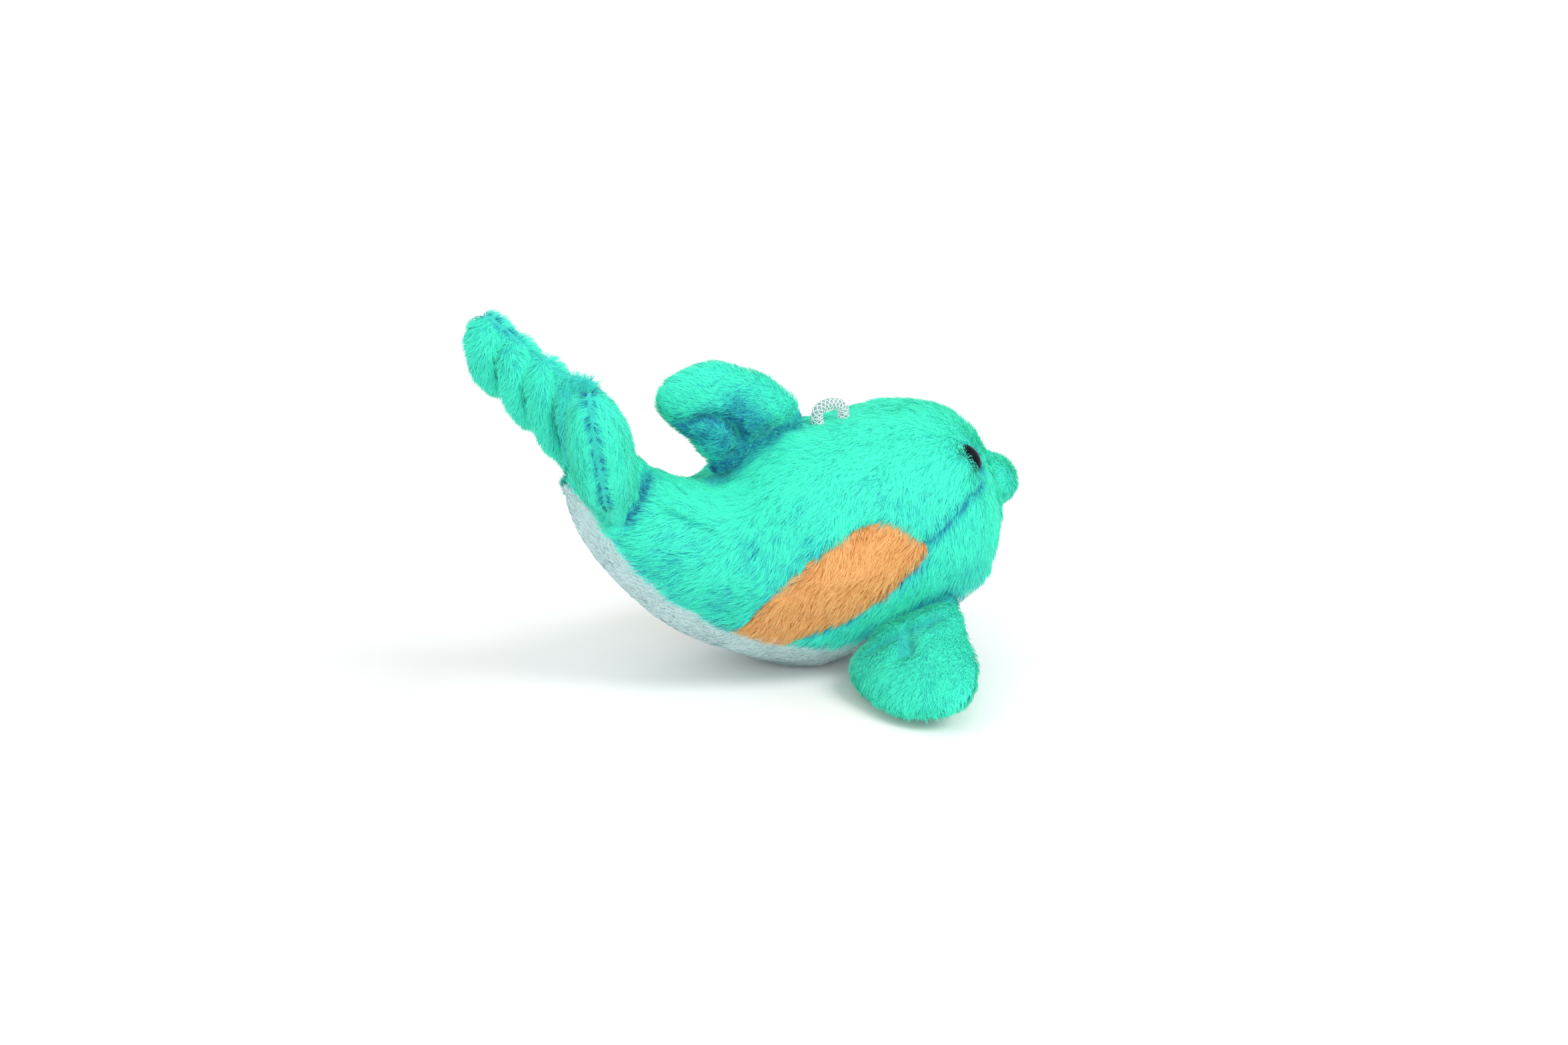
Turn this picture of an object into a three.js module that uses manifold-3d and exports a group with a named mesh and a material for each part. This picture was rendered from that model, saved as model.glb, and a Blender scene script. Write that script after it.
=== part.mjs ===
// Plush dolphin keychain: a small stuffed dolphin with a cord loop sewn into the seam of its back.
// Millimetres, Z up, X towards the snout, Y towards the dolphin's left.
// It rests on the flat of its belly at Z = 0, with the origin under the middle of its length.
import * as THREE from "three";
import { mergeVertices } from "three/addons/utils/BufferGeometryUtils.js";
import Module from "manifold-3d";

const wasm = await Module();
wasm.setup();

// Body, from the face to the tail: where each station lies, and its half width and half height
const faceX = 42;
const faceZ = 31.9;
const faceHalfWidth = 21;
const faceHalfHeight = 21.5;
const headX = 23;
const headRise = 3.5;
const headHalfWidth = 23;
const headHalfHeight = 22.2;
const chestX = 3.5;
const chestHalfWidth = 24;
const chestHalfHeight = 23.8;
const loinX = -14.5;
const loinZ = 24;
const loinHalfWidth = 19.5;
const loinHalfHeight = 17.6;
const waistX = -25.6;
const waistZ = 28.8;
const waistHalfWidth = 14.5;
const waistHalfHeight = 12.8;
const stockX = -34.3;
const stockZ = 36.6;
const stockHalfWidth = 10.5;
const stockHalfHeight = 9.4;
const tailX = -39.2;
const tailZ = 48;
const tailHalfWidth = 7;
const tailHalfHeight = 6;
const headBlunt = 2.4;

// Depth of the flat that the belly rests on, above the lowest point of the body's round form
const flatDepth = 0.5;

// Sewn fabric: how thick a panel is with its pile pressed flat, and the gaps between pieces
const skin = 2;
const seamGap = 0.3;
const clearance = 0.35;

// Belly panel: its ends under the chin and at the tail, and how far round the body its side seams run
const chinAlong = 0.035;
const bellyEnd = 0.93;
const bellyTurn = 130;
const bellyTaper = 0.09;

// Orange patch on each flank, from its front tip over the top and down to the belly seam
const patchFront = 0.195;
const patchFrontTurn = 85;
const patchTopTurn = 65;
const patchRear = 0.5;
const patchFoot = 0.43;

// Snout: a blunt nub on the face
const snoutZ = 30.9;
const snoutReach = 6.6;
const snoutHalfLength = 8;
const snoutHalfWidth = 7.1;
const snoutHalfHeight = 5.7;

// Eyes: domed buttons on ribbed shanks, each held by a lock washer behind the panel
const eyeAlong = 0.055;
const eyeTurn = 52;
const eyeDiameter = 6;
const eyeDome = 1.8;
const eyeRim = 0.7;
const eyeSink = 2;
const shankDiameter = 2;
const shankLength = 5.5;
const shankRibs = 2;
const shankRibHeight = 0.25;
const washerDiameter = 6.5;
const washerThickness = 0.9;
const washerSlack = 0.4;

// Hanging loop: braided cord, with its arch above the back seam and its knot behind it
const cordDiameter = 2;
const loopAlong = 0.243;
const loopSpan = 5.4;
const loopHeight = 3.7;
const knotDiameter = 5;

// Dorsal fin: its root along the back, its height, and how far its top is swept to the tail
const finAlong = 0.411;
const finRoot = 21.5;
const finHeight = 20.2;
const finSweep = 9;
const finTopWidth = 13;
const finThickness = 9;

// Flippers: where their root is on the body and which way it runs, then their size and how they lie
const flipperAlong = 0.234;
const flipperTurn = 129;
const flipperRoot = 19;
const flipperToe = 18;
const flipperPitch = 21;
const flipperTuck = 6;
const flipperLength = 33;
const flipperWidth = 24;
const flipperSetBack = 3.1;
const flipperYaw = 12;
const flipperDroop = 10.2;
const flipperThickness = 8.6;

// Tail flukes: the place of their roots behind the tail, and the way the lobes spread and lean
const flukeBehind = -2;
const flukeAbove = 2.5;
const flukeSlump = 1.5;
const flukeApart = 3.5;
const flukeSpread = 62.5;
const flukeTwist = 2.5;
const flukeLean = -8;

// Each lobe is quilted into slanted ribs, which step up from its root to its tip
const flukeThickness = 12.4;
const flukeRibs = 4;
const ribPitch = 6.2;
const ribRise = 4.75;
const ribWidth = 9;
const ribSlant = 8;
const ribLength = 17.2;
const rootRibLength = 24;
const rootRibDrop = 3.4;
const tipRibWidth = 10.5;
const ribStart = 2.6;
const webThickness = 9;
const quiltedThickness = 8.5;

// Seams where the limbs are sewn on: how thick a limb is there, and how far it takes to fill out
const rootThickness = 2.4;
const rootFill = 5;
const rootTuck = 3;

// How far the limbs turn each way about their seams, in degrees
const finTurn = 20;
const flipperTurnLimit = 18;
const flukeTurn = 12;

// Facets round the body and along it, and round a limb and inwards from its edge
const bodySides = 28;
const bodyRings = 26;
const bodyCrowding = 0.75;
const coverSides = 26;
const coverRings = 3;
const ribSides = 14;
const fillingSides = 16;
const fillingRings = 2;
const cordSides = 8;
const cordSteps = 14;
const buttonSides = 16;
const domeSteps = 4;
const ballSides = 10;

const turquoise = 0x48f0cc;
const white = 0xdde6e8;
const orange = 0xf0b070;
const black = 0x0b0c0e;
const clear = 0xe6ecee;
const fibre = 0xf2f2f0;

const sideways = new THREE.Vector3(0, 1, 0);
const chestZ = chestHalfHeight;
const cordRadius = cordDiameter / 2;
const headCap = 1 / 6;
const tailCap = 0.1;
const far = 200;

// The middle of the body along its length
const spine = new THREE.CatmullRomCurve3([
  new THREE.Vector3(faceX, 0, faceZ),
  new THREE.Vector3(headX, 0, chestZ + headRise),
  new THREE.Vector3(chestX, 0, chestZ),
  new THREE.Vector3(loinX, 0, loinZ),
  new THREE.Vector3(waistX, 0, waistZ),
  new THREE.Vector3(stockX, 0, stockZ),
  new THREE.Vector3(tailX, 0, tailZ),
]);

// Half width and half height at the same stations, as the X and Y of a curve
const girth = new THREE.CatmullRomCurve3([
  new THREE.Vector3(faceHalfWidth, faceHalfHeight, 0),
  new THREE.Vector3(headHalfWidth, headHalfHeight, 0),
  new THREE.Vector3(chestHalfWidth, chestHalfHeight, 0),
  new THREE.Vector3(loinHalfWidth, loinHalfHeight, 0),
  new THREE.Vector3(waistHalfWidth, waistHalfHeight, 0),
  new THREE.Vector3(stockHalfWidth, stockHalfHeight, 0),
  new THREE.Vector3(tailHalfWidth, tailHalfHeight, 0),
]);

const radians = THREE.MathUtils.degToRad;

// A manifold solid from a closed geometry.
function solid(geometry) {
  geometry.deleteAttribute("normal");
  geometry.deleteAttribute("uv");
  const merged = mergeVertices(geometry, 1e-4);
  return new wasm.Manifold(
    new wasm.Mesh({
      numProp: 3,
      vertProperties: new Float32Array(merged.attributes.position.array),
      triVerts: new Uint32Array(merged.index.array),
    }),
  );
}

// A geometry from a manifold solid.
function geometryOf(shape) {
  const mesh = shape.getMesh();
  const geometry = new THREE.BufferGeometry();
  geometry.setAttribute("position", new THREE.BufferAttribute(mesh.vertProperties, 3));
  geometry.setIndex(new THREE.BufferAttribute(mesh.triVerts, 1));
  geometry.computeVertexNormals();
  return geometry;
}

// The largest body of a solid, without the slivers that a cut leaves.
function largest(shape) {
  return shape.decompose().sort((a, b) => b.volume() - a.volume())[0];
}

// A closed skin over rings of points; a ring of one point is a pole.
function loft(rings) {
  const faces = [];
  let start = 0;
  for (let k = 0; k + 1 < rings.length; k += 1) {
    const here = rings[k].length;
    const next = rings[k + 1].length;
    for (let i = 0; i < Math.max(here, next); i += 1) {
      const a = start + (i % here);
      const b = start + ((i + 1) % here);
      const c = start + here + (i % next);
      const d = start + here + ((i + 1) % next);
      if (here > 1) faces.push(a, b, d);
      if (next > 1) faces.push(a, d, c);
    }
    start += here;
  }
  const geometry = new THREE.BufferGeometry().setFromPoints(rings.flat());
  geometry.setIndex(faces);
  return geometry;
}

// A box as a solid, from its size and its middle.
function block(width, depth, height, x, y, z) {
  return solid(new THREE.BoxGeometry(width, depth, height).translate(x, y, z));
}

// The body's section at t, from 0 at the face to 1 at the tail, drawn in by inset.
function sectionAt(t, inset) {
  const size = girth.getPoint(t);
  const up = new THREE.Vector3().crossVectors(sideways, spine.getTangent(t)).normalize();
  const fromFace = 1 - Math.min(t / headCap, 1);
  const fromTail = 1 - Math.min((1 - t) / tailCap, 1);
  const round = (1 - fromFace ** headBlunt) ** (1 / headBlunt) * Math.sqrt(1 - fromTail ** 2);
  return {
    middle: spine.getPoint(t),
    up,
    width: (size.x - inset) * round,
    height: (size.y - inset) * round,
  };
}

// A point of the body's surface: turn goes from 0 at the back to 180 at the belly, by the left.
function onBody(t, turn, inset = 0) {
  const section = sectionAt(t, inset);
  return section.middle
    .addScaledVector(section.up, section.height * Math.cos(radians(turn)))
    .addScaledVector(sideways, section.width * Math.sin(radians(turn)));
}

// Which way the body's surface faces at that point.
function outOfBody(t, turn) {
  const step = 0.004;
  const along = onBody(t + step, turn).sub(onBody(t - step, turn));
  const round = onBody(t, turn + 1).sub(onBody(t, turn - 1));
  return new THREE.Vector3().crossVectors(round, along).normalize();
}

// The body as one closed form, drawn in by inset, or grown where that is negative.
function bodyForm(inset) {
  const face = spine.getPoint(0);
  const tail = spine.getPoint(1);
  const crowd = bodyCrowding / (2 * Math.PI);
  const rings = [[onBody(0, 0, inset)]];
  for (let k = 1; k < bodyRings; k += 1) {
    const even = k / bodyRings;
    const t = even - Math.sin(2 * Math.PI * even) * crowd;
    const ring = [];
    for (let i = 0; i < bodySides; i += 1) ring.push(onBody(t, (360 * i) / bodySides, inset));
    rings.push(ring);
  }
  rings.push([onBody(1, 0, inset)]);
  for (const point of rings.flat()) {
    const share = (point.x - tail.x) / (face.x - tail.x);
    point.x += inset * (1 - 2 * share);
    point.z -= inset * (1 - share) ** 4;
  }
  return solid(loft(rings));
}

// A closed spline of the XY plane through its corners, as many points as sides.
function outlineThrough(corners, sides) {
  const loop = new THREE.CatmullRomCurve3(
    corners.map(([x, y]) => new THREE.Vector3(x, y, 0)),
    true,
  );
  return loop.getSpacedPoints(sides).slice(0, sides);
}

// A closed or open line of the XY plane set over to its right by a distance.
function setOver(points, distance, closed) {
  const count = points.length;
  return points.map((point, i) => {
    const before = closed ? points[(i + count - 1) % count] : points[Math.max(i - 1, 0)];
    const after = closed ? points[(i + 1) % count] : points[Math.min(i + 1, count - 1)];
    const along = after.clone().sub(before).normalize();
    return point.clone().add(new THREE.Vector3(along.y, -along.x, 0).multiplyScalar(distance));
  });
}

// A prism through the body from an outline in side view, on one side of it or on both.
function sideCutter(outline, side) {
  const shape = new THREE.Shape(outline.map((point) => new THREE.Vector2(point.x, point.y)));
  const geometry = new THREE.ExtrudeGeometry(shape, { depth: far, bevelEnabled: false });
  geometry.rotateX(Math.PI / 2);
  geometry.translate(0, side > 0 ? far : side < 0 ? 0 : far / 2, 0);
  return solid(geometry);
}

// A point of the body in side view, as X and Y.
function inSideView(t, turn) {
  const point = onBody(t, turn);
  return new THREE.Vector3(point.x, point.z, 0);
}

// Everything below the belly seam, with the seam set over by a distance.
function belowBellySeam(distance) {
  const steps = 26;
  const seam = [];
  for (let k = 0; k <= steps; k += 1) {
    const t = chinAlong + ((bellyEnd - chinAlong) * k) / steps;
    const toEnd = Math.min((t - chinAlong) / bellyTaper, (bellyEnd - t) / bellyTaper, 1);
    const open = Math.sqrt(Math.max(1 - (1 - toEnd) ** 2, 0));
    seam.push(inSideView(t, 180 - (180 - bellyTurn) * open));
  }
  const line = setOver(seam, distance, false);
  const chin = line[0];
  const tail = line[steps];
  const around = [
    new THREE.Vector3(-far, tail.y, 0),
    new THREE.Vector3(-far, -far, 0),
    new THREE.Vector3(far, -far, 0),
    new THREE.Vector3(far, chin.y, 0),
  ];
  return sideCutter([...line, ...around], 0);
}

// The orange patch's prism on one side, with its edge set over by a distance.
function patchCutter(side, distance) {
  const middle = (patchFront + patchRear) / 2;
  const corners = [
    [patchFront, patchFrontTurn],
    [patchFront + 0.015, patchTopTurn + 12],
    [patchFront + 0.045, patchTopTurn + 3],
    [middle - 0.06, patchTopTurn - 1],
    [middle + 0.025, patchTopTurn + 5],
    [middle + 0.09, patchTopTurn + 18],
    [patchRear - 0.022, (patchTopTurn + bellyTurn) / 2 + 6],
    [patchRear, bellyTurn],
    [patchRear, bellyTurn + 20],
    [patchFoot, bellyTurn + 20],
    [patchFoot, bellyTurn - 1],
    [middle - 0.03, bellyTurn - 22],
    [middle - 0.1, bellyTurn - 33],
  ];
  const edge = corners.map(([t, turn]) => {
    const point = inSideView(t, turn);
    return [point.x, point.y];
  });
  return sideCutter(setOver(outlineThrough(edge, 40), distance, true), side);
}

// A pillow over an outline of the XY plane; halfThickness gives its half height at a point.
function pillow(outline, middle, rings, inset, halfThickness) {
  const at = (edge, share, side) => {
    const arm = edge.clone().sub(middle);
    const point = middle.clone().addScaledVector(arm, share * (1 - inset / arm.length()));
    const full = Math.max(halfThickness(point) - inset, rootThickness / 8);
    point.z = side * full * Math.sqrt(1 - share ** 3);
    return point;
  };
  const shares = [];
  for (let k = 1; k < rings; k += 1) shares.push(Math.sin((Math.PI / 2) * (k / rings)));
  const ringAt = (share, side) => outline.map((edge) => at(edge, share, side));
  return solid(
    loft([
      [at(outline[0], 0, 1)],
      ...shares.map((share) => ringAt(share, 1)),
      ringAt(1, 0),
      ...shares.reverse().map((share) => ringAt(share, -1)),
      [at(outline[0], 0, -1)],
    ]),
  );
}

// Half the thickness of a limb at a point: thin at its seam and full beyond it.
function fullness(thickness) {
  return (point) => {
    const share = THREE.MathUtils.smoothstep(point.x, 0, rootFill);
    return THREE.MathUtils.lerp(rootThickness, thickness, share) / 2;
  };
}

// The two sewn covers of a limb and its filling, from its outside, its hollow and its filling.
function sewn(outside, hollow, filling) {
  const shell = outside.subtract(hollow);
  const half = far / 2;
  return {
    above: shell.subtract(block(far, far, far, 0, 0, seamGap / 2 - half)),
    below: shell.subtract(block(far, far, far, 0, 0, half - seamGap / 2)),
    filling,
  };
}

// The same for a limb whose form is given by a function of its inset.
function sewnForm(form) {
  const outside = form(0, coverSides, coverRings);
  const hollow = form(skin, fillingSides, fillingRings);
  return sewn(outside, hollow, form(skin + seamGap, fillingSides, fillingRings));
}

// The frame of a limb: X out along it, Y along its seam, Z square to both.
function limbFrame(middle, seam, out) {
  const along = seam.clone().normalize();
  const away = out.clone().addScaledVector(along, -out.dot(along)).normalize();
  const square = new THREE.Vector3().crossVectors(away, along);
  return new THREE.Matrix4().makeBasis(away, along, square).setPosition(middle);
}

// Takes from a limb what an obstacle reaches as the limb turns about its seam, up to its limit each way.
function clearOf(shape, obstacle, frame, limit) {
  const toLimb = frame.clone().invert();
  let cleared = shape;
  for (const share of [-1, -0.5, 0, 0.5, 1]) {
    const turned = new THREE.Matrix4().makeRotationY(radians(limit * share)).multiply(toLimb);
    cleared = cleared.subtract(obstacle.transform(turned.elements));
  }
  return largest(cleared);
}

// A mesh of its own material.
function piece(name, shape, color, roughness = 0.9) {
  const material = new THREE.MeshStandardMaterial({ color, roughness, metalness: 0 });
  const made = new THREE.Mesh(geometryOf(shape), material);
  made.name = name;
  return made;
}

// A group placed by a matrix.
function groupAt(frame) {
  const group = new THREE.Group();
  frame.decompose(group.position, group.quaternion, group.scale);
  return group;
}

// A limb's covers and filling in its own group, cut clear of the obstacles through its whole turn.
function limb(names, parts, frame, obstacles, limit) {
  const group = groupAt(frame);
  for (const key of ["above", "below", "filling"]) {
    let shape = parts[key];
    for (const obstacle of obstacles) shape = clearOf(shape, obstacle, frame, limit);
    group.add(piece(names[key], shape, key === "filling" ? fibre : turquoise));
  }
  return group;
}

// The frame of a piece that stands on the body: Z out of the body and X along it towards the face.
function standFrame(t, turn) {
  const out = outOfBody(t, turn);
  const forward = onBody(t - 0.01, turn).sub(onBody(t + 0.01, turn));
  forward.addScaledVector(out, -forward.dot(out)).normalize();
  const across = new THREE.Vector3().crossVectors(out, forward);
  return new THREE.Matrix4().makeBasis(forward, across, out).setPosition(onBody(t, turn));
}

// A round solid about Z, from a profile of radius and height.
function turned(profile) {
  const points = profile.map(([radius, height]) => new THREE.Vector2(radius, height));
  return solid(new THREE.LatheGeometry(points, buttonSides).rotateX(Math.PI / 2));
}

// A plain round pin about Z, from one height to another.
function pin(radius, from, to) {
  return turned([
    [0, from],
    [radius, from],
    [radius, to],
    [0, to],
  ]);
}

// A cord along a route, as a tube with round ends.
function cordAlong(points, steps) {
  const route = new THREE.CatmullRomCurve3(points);
  const section = new THREE.Shape();
  for (let i = 0; i < cordSides; i += 1) {
    const angle = (2 * Math.PI * i) / cordSides;
    const x = cordRadius * Math.cos(angle);
    const y = cordRadius * Math.sin(angle);
    if (i === 0) section.moveTo(x, y);
    else section.lineTo(x, y);
  }
  const tube = new THREE.ExtrudeGeometry(section, { steps, bevelEnabled: false, extrudePath: route });
  return solid(tube);
}

// A ball as a solid.
function ball(radius, x, y, z) {
  return solid(new THREE.SphereGeometry(radius, ballSides, ballSides * 0.6).translate(x, y, z));
}

// The eye and its lock washer, about Z, with the body's surface at Z = 0
function eyeSolid() {
  const seat = seamGap - eyeSink;
  const radius = eyeDiameter / 2;
  const shank = shankDiameter / 2;
  const profile = [
    [0, seat - shankLength],
    [shank * 0.6, seat - shankLength],
  ];
  const pitch = (shankLength - skin) / (shankRibs + 1);
  for (let k = 0; k < shankRibs; k += 1) {
    const z = seat - shankLength + pitch * (k + 0.4);
    profile.push([shank, z], [shank + shankRibHeight, z + pitch * 0.5], [shank, z + pitch * 0.55]);
  }
  profile.push([shank, seat], [radius, seat], [radius, seat + eyeRim]);
  for (let k = 1; k <= domeSteps; k += 1) {
    const angle = (Math.PI / 2) * (k / domeSteps);
    const wide = k === domeSteps ? 0 : radius * Math.cos(angle);
    profile.push([wide, seat + eyeRim + eyeDome * Math.sin(angle)]);
  }
  return turned(profile);
}

function washerSolid() {
  const top = -skin - seamGap - washerSlack;
  const hole = shankDiameter / 2 + shankRibHeight + seamGap;
  return turned([
    [hole, top - washerThickness],
    [washerDiameter / 2, top - washerThickness],
    [washerDiameter / 2, top],
    [hole, top],
    [hole, top - washerThickness],
  ]);
}

// The room that an eye takes in a panel, and behind it in the stuffing
function eyeRoom() {
  const pocket = pin(eyeDiameter / 2 + clearance, -eyeSink, skin);
  return pocket.add(pin(shankDiameter / 2 + shankRibHeight + clearance, -2 * skin, skin));
}

function washerRoom() {
  return pin(washerDiameter / 2 + clearance, -eyeSink - shankLength - clearance, skin);
}

// The hanging loop in its own frame: its seam line is the X axis, at its two feet
function loopSolid() {
  const side = loopSpan / 2;
  const top = loopHeight - 2 * cordRadius - seamGap;
  const points = [
    [-side, 0],
    [-side * 0.96, top * 0.4],
    [-side * 0.68, top * 0.82],
    [0, top],
    [side * 0.68, top * 0.82],
    [side * 0.96, top * 0.4],
    [side, 0],
  ].map(([x, z]) => new THREE.Vector3(x, 0, z));
  return cordAlong(points, cordSteps)
    .add(ball(cordRadius, -side, 0, 0))
    .add(ball(cordRadius, side, 0, 0));
}

// The knot of the loop's two ends, with the body's surface at Z = 0
function knotSolid() {
  const side = loopSpan / 2;
  const knotZ = -skin - clearance - knotDiameter / 2;
  let knot = ball(knotDiameter / 2, 0, 0, knotZ);
  for (const end of [-side, side]) {
    const points = [
      new THREE.Vector3(end, 0, 0),
      new THREE.Vector3(end, 0, -skin),
      new THREE.Vector3(end * 0.4, 0, knotZ),
    ];
    knot = knot.add(cordAlong(points, 4));
  }
  return knot;
}

// The holes that the loop's ends pass through, and the room of the knot in the stuffing
function loopHoles() {
  const hole = pin(cordRadius + clearance, -2 * skin, skin);
  return hole.translate([-loopSpan / 2, 0, 0]).add(hole.translate([loopSpan / 2, 0, 0]));
}

function knotRoom() {
  const depth = skin + 2 * clearance + knotDiameter;
  return pin(loopSpan / 2 + cordRadius + clearance, -depth, skin);
}

// The dorsal fin in its own plane: X up from the back and Y towards the face
function finForm(inset, sides, rings) {
  const half = finRoot / 2;
  const tuck = [-rootTuck, half - 1];
  const topFront = finTopWidth / 2 - finSweep;
  const topRear = -finTopWidth / 2 - finSweep;
  const corners = [
    tuck,
    [finHeight * 0.05, half],
    [finHeight * 0.4, half - finSweep * 0.25],
    [finHeight * 0.7, half - finSweep * 0.7],
    [finHeight * 0.9, topFront + finSweep * 0.3],
    [finHeight, topFront - finSweep * 0.35],
    [finHeight * 0.98, topRear + finSweep * 0.35],
    [finHeight * 0.84, topRear + finSweep * 0.05],
    [finHeight * 0.63, topRear + finSweep * 0.1],
    [finHeight * 0.35, topRear + finSweep * 0.35],
    [finHeight * 0.05, -half],
    [-rootTuck, 1 - half],
  ];
  const middle = new THREE.Vector3(finHeight * 0.48, -finSweep * 0.25, 0);
  return pillow(outlineThrough(corners, sides), middle, rings, inset, fullness(finThickness));
}

// A flipper in its own plane: X out from the flank and Y towards the face
function flipperForm(inset, sides, rings) {
  const half = flipperRoot / 2;
  const front = flipperWidth / 2 - flipperSetBack;
  const rear = -flipperWidth / 2 - flipperSetBack;
  const corners = [
    [-flipperTuck, half - 1],
    [flipperLength * 0.07, half],
    [flipperLength * 0.3, front + 0.2],
    [flipperLength * 0.56, front],
    [flipperLength * 0.82, front - flipperWidth * 0.08],
    [flipperLength * 0.97, front - flipperWidth * 0.22],
    [flipperLength, front - flipperWidth * 0.4],
    [flipperLength * 0.94, rear + flipperWidth * 0.4],
    [flipperLength * 0.82, rear + flipperWidth * 0.22],
    [flipperLength * 0.58, rear + flipperWidth * 0.06],
    [flipperLength * 0.33, rear],
    [flipperLength * 0.15, rear + flipperWidth * 0.06],
    [flipperLength * 0.03, -half],
    [-flipperTuck, 1 - half],
  ];
  const middle = new THREE.Vector3(flipperLength * 0.48, -flipperSetBack, 0);
  return pillow(outlineThrough(corners, sides), middle, rings, inset, fullness(flipperThickness));
}

// A rib of a fluke as a slanted oval pillow about its middle
function rib(middle, width, length) {
  const square = new THREE.Vector3(0, 0, 1);
  const outline = [];
  for (let i = 0; i < ribSides; i += 1) {
    const angle = (-2 * Math.PI * i) / ribSides;
    const edge = new THREE.Vector3((width / 2) * Math.cos(angle), (length / 2) * Math.sin(angle), 0);
    outline.push(edge.applyAxisAngle(square, -radians(ribSlant)).add(middle));
  }
  return pillow(outline, middle, coverRings, 0, fullness(flukeThickness));
}

// The place of each rib in the plane of its fluke: X out from the tail and Y up along its root
function ribPlace(k) {
  const share = k / (flukeRibs - 1);
  const middle = new THREE.Vector3(ribStart + ribPitch * k, ribRise * k - rootRibDrop, 0);
  return { middle, length: THREE.MathUtils.lerp(rootRibLength, ribLength, share) };
}

// One smooth pillow through all the ribs of a fluke
function flukePillow(inset, thickness, sides, rings) {
  const last = flukeRibs - 1;
  const root = ribPlace(0);
  const half = ribPlace(last / 2);
  const tip = ribPlace(last);
  const ends = (place, side, share) => [place.middle.x, place.middle.y + side * share * place.length / 2];
  const corners = [
    [-rootTuck, root.middle.y + root.length / 2 - 1],
    ends(root, 1, 1),
    ends(half, 1, 0.9),
    ends(tip, 1, 0.85),
    [tip.middle.x + tipRibWidth * 0.42, tip.middle.y],
    ends(tip, -1, 0.9),
    ends(half, -1, 0.95),
    ends(root, -1, 1),
    [-rootTuck, root.middle.y + 1 - root.length / 2],
  ];
  return pillow(outlineThrough(corners, sides), half.middle.clone(), rings, inset, fullness(thickness));
}

// The quilted outside of a fluke: its ribs over one smooth web
function flukeRibsSolid() {
  let lobe = flukePillow(0, webThickness, fillingSides, coverRings);
  for (let k = 0; k < flukeRibs; k += 1) {
    const { middle, length } = ribPlace(k);
    lobe = lobe.add(rib(middle, k === flukeRibs - 1 ? tipRibWidth : ribWidth, length));
  }
  return lobe;
}

// The hollow of a fluke, which its filling takes up
function flukeHollow(inset) {
  return flukePillow(inset, quiltedThickness, fillingSides, fillingRings);
}

// The body's panels, patches and stuffing, with room for the eyes and the loop
function addBody(group) {
  const above = block(far, far, far, 0, 0, restZ + far / 2);
  const lining = bodyForm(skin).intersect(above);
  const shell = bodyForm(0).intersect(above).subtract(lining);
  const below = belowBellySeam(-seamGap / 2);
  const belowToo = belowBellySeam(seamGap / 2);
  group.add(piece("belly_panel", largest(shell.intersect(below)), white));
  const loopFrame = standFrame(loopAlong, 0);
  const stuffingBase = restZ + skin + seamGap;
  let stuffing = bodyForm(skin + seamGap).subtract(block(far, far, far, 0, 0, stuffingBase - far / 2));
  stuffing = stuffing.subtract(knotRoom().transform(loopFrame.elements));
  for (const side of [-1, 1]) {
    const name = side < 0 ? "right" : "left";
    const eyeFrame = standFrame(eyeAlong, side * eyeTurn);
    const half = block(far, far, far, 0, side * (far / 2 + seamGap / 2), 0);
    const sidePanel = shell.subtract(belowToo).intersect(half);
    const patch = largest(sidePanel.intersect(patchCutter(side, -seamGap / 2)));
    const panel = largest(
      sidePanel
        .subtract(patchCutter(side, seamGap / 2))
        .subtract(eyeRoom().transform(eyeFrame.elements))
        .subtract(loopHoles().transform(loopFrame.elements)),
    );
    group.add(piece("side_panel_" + name, panel, turquoise));
    group.add(piece("flank_patch_" + name, patch, orange));
    const face = groupAt(eyeFrame);
    face.add(piece("eye_" + name, eyeSolid(), black, 0.1));
    face.add(piece("eye_washer_" + name, washerSolid(), fibre, 0.5));
    group.add(face);
    stuffing = stuffing.subtract(washerRoom().transform(eyeFrame.elements));
  }
  group.add(piece("body_stuffing", largest(stuffing), fibre, 1));
  const seam = groupAt(loopFrame);
  seam.add(piece("loop_knot", knotSolid(), clear, 0.4));
  group.add(seam);
}

// The snout, cut clear of the face
function addSnout(group, reach) {
  const ballShape = new THREE.SphereGeometry(1, 20, 12);
  ballShape.scale(snoutHalfLength, snoutHalfWidth, snoutHalfHeight);
  ballShape.translate(faceX + snoutReach - snoutHalfLength, 0, snoutZ);
  group.add(piece("snout", largest(solid(ballShape).subtract(reach)), turquoise));
}

// The arch of the hanging loop, which turns about the line through its two feet
function addLoop(group) {
  const rise = new THREE.Matrix4().makeTranslation(0, 0, cordRadius + seamGap);
  const seam = groupAt(standFrame(loopAlong, 0).multiply(rise));
  seam.add(piece("hang_loop", loopSolid(), clear, 0.4));
  group.add(seam);
}

// The dorsal fin on the back seam
function addFin(group, reach) {
  const seam = onBody(finAlong - 0.1, 0).sub(onBody(finAlong + 0.1, 0));
  const frame = limbFrame(onBody(finAlong, 0), seam, outOfBody(finAlong, 0));
  const names = {
    above: "dorsal_fin_left_cover",
    below: "dorsal_fin_right_cover",
    filling: "dorsal_fin_filling",
  };
  group.add(limb(names, sewnForm(finForm), frame, [reach], finTurn));
}

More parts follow.
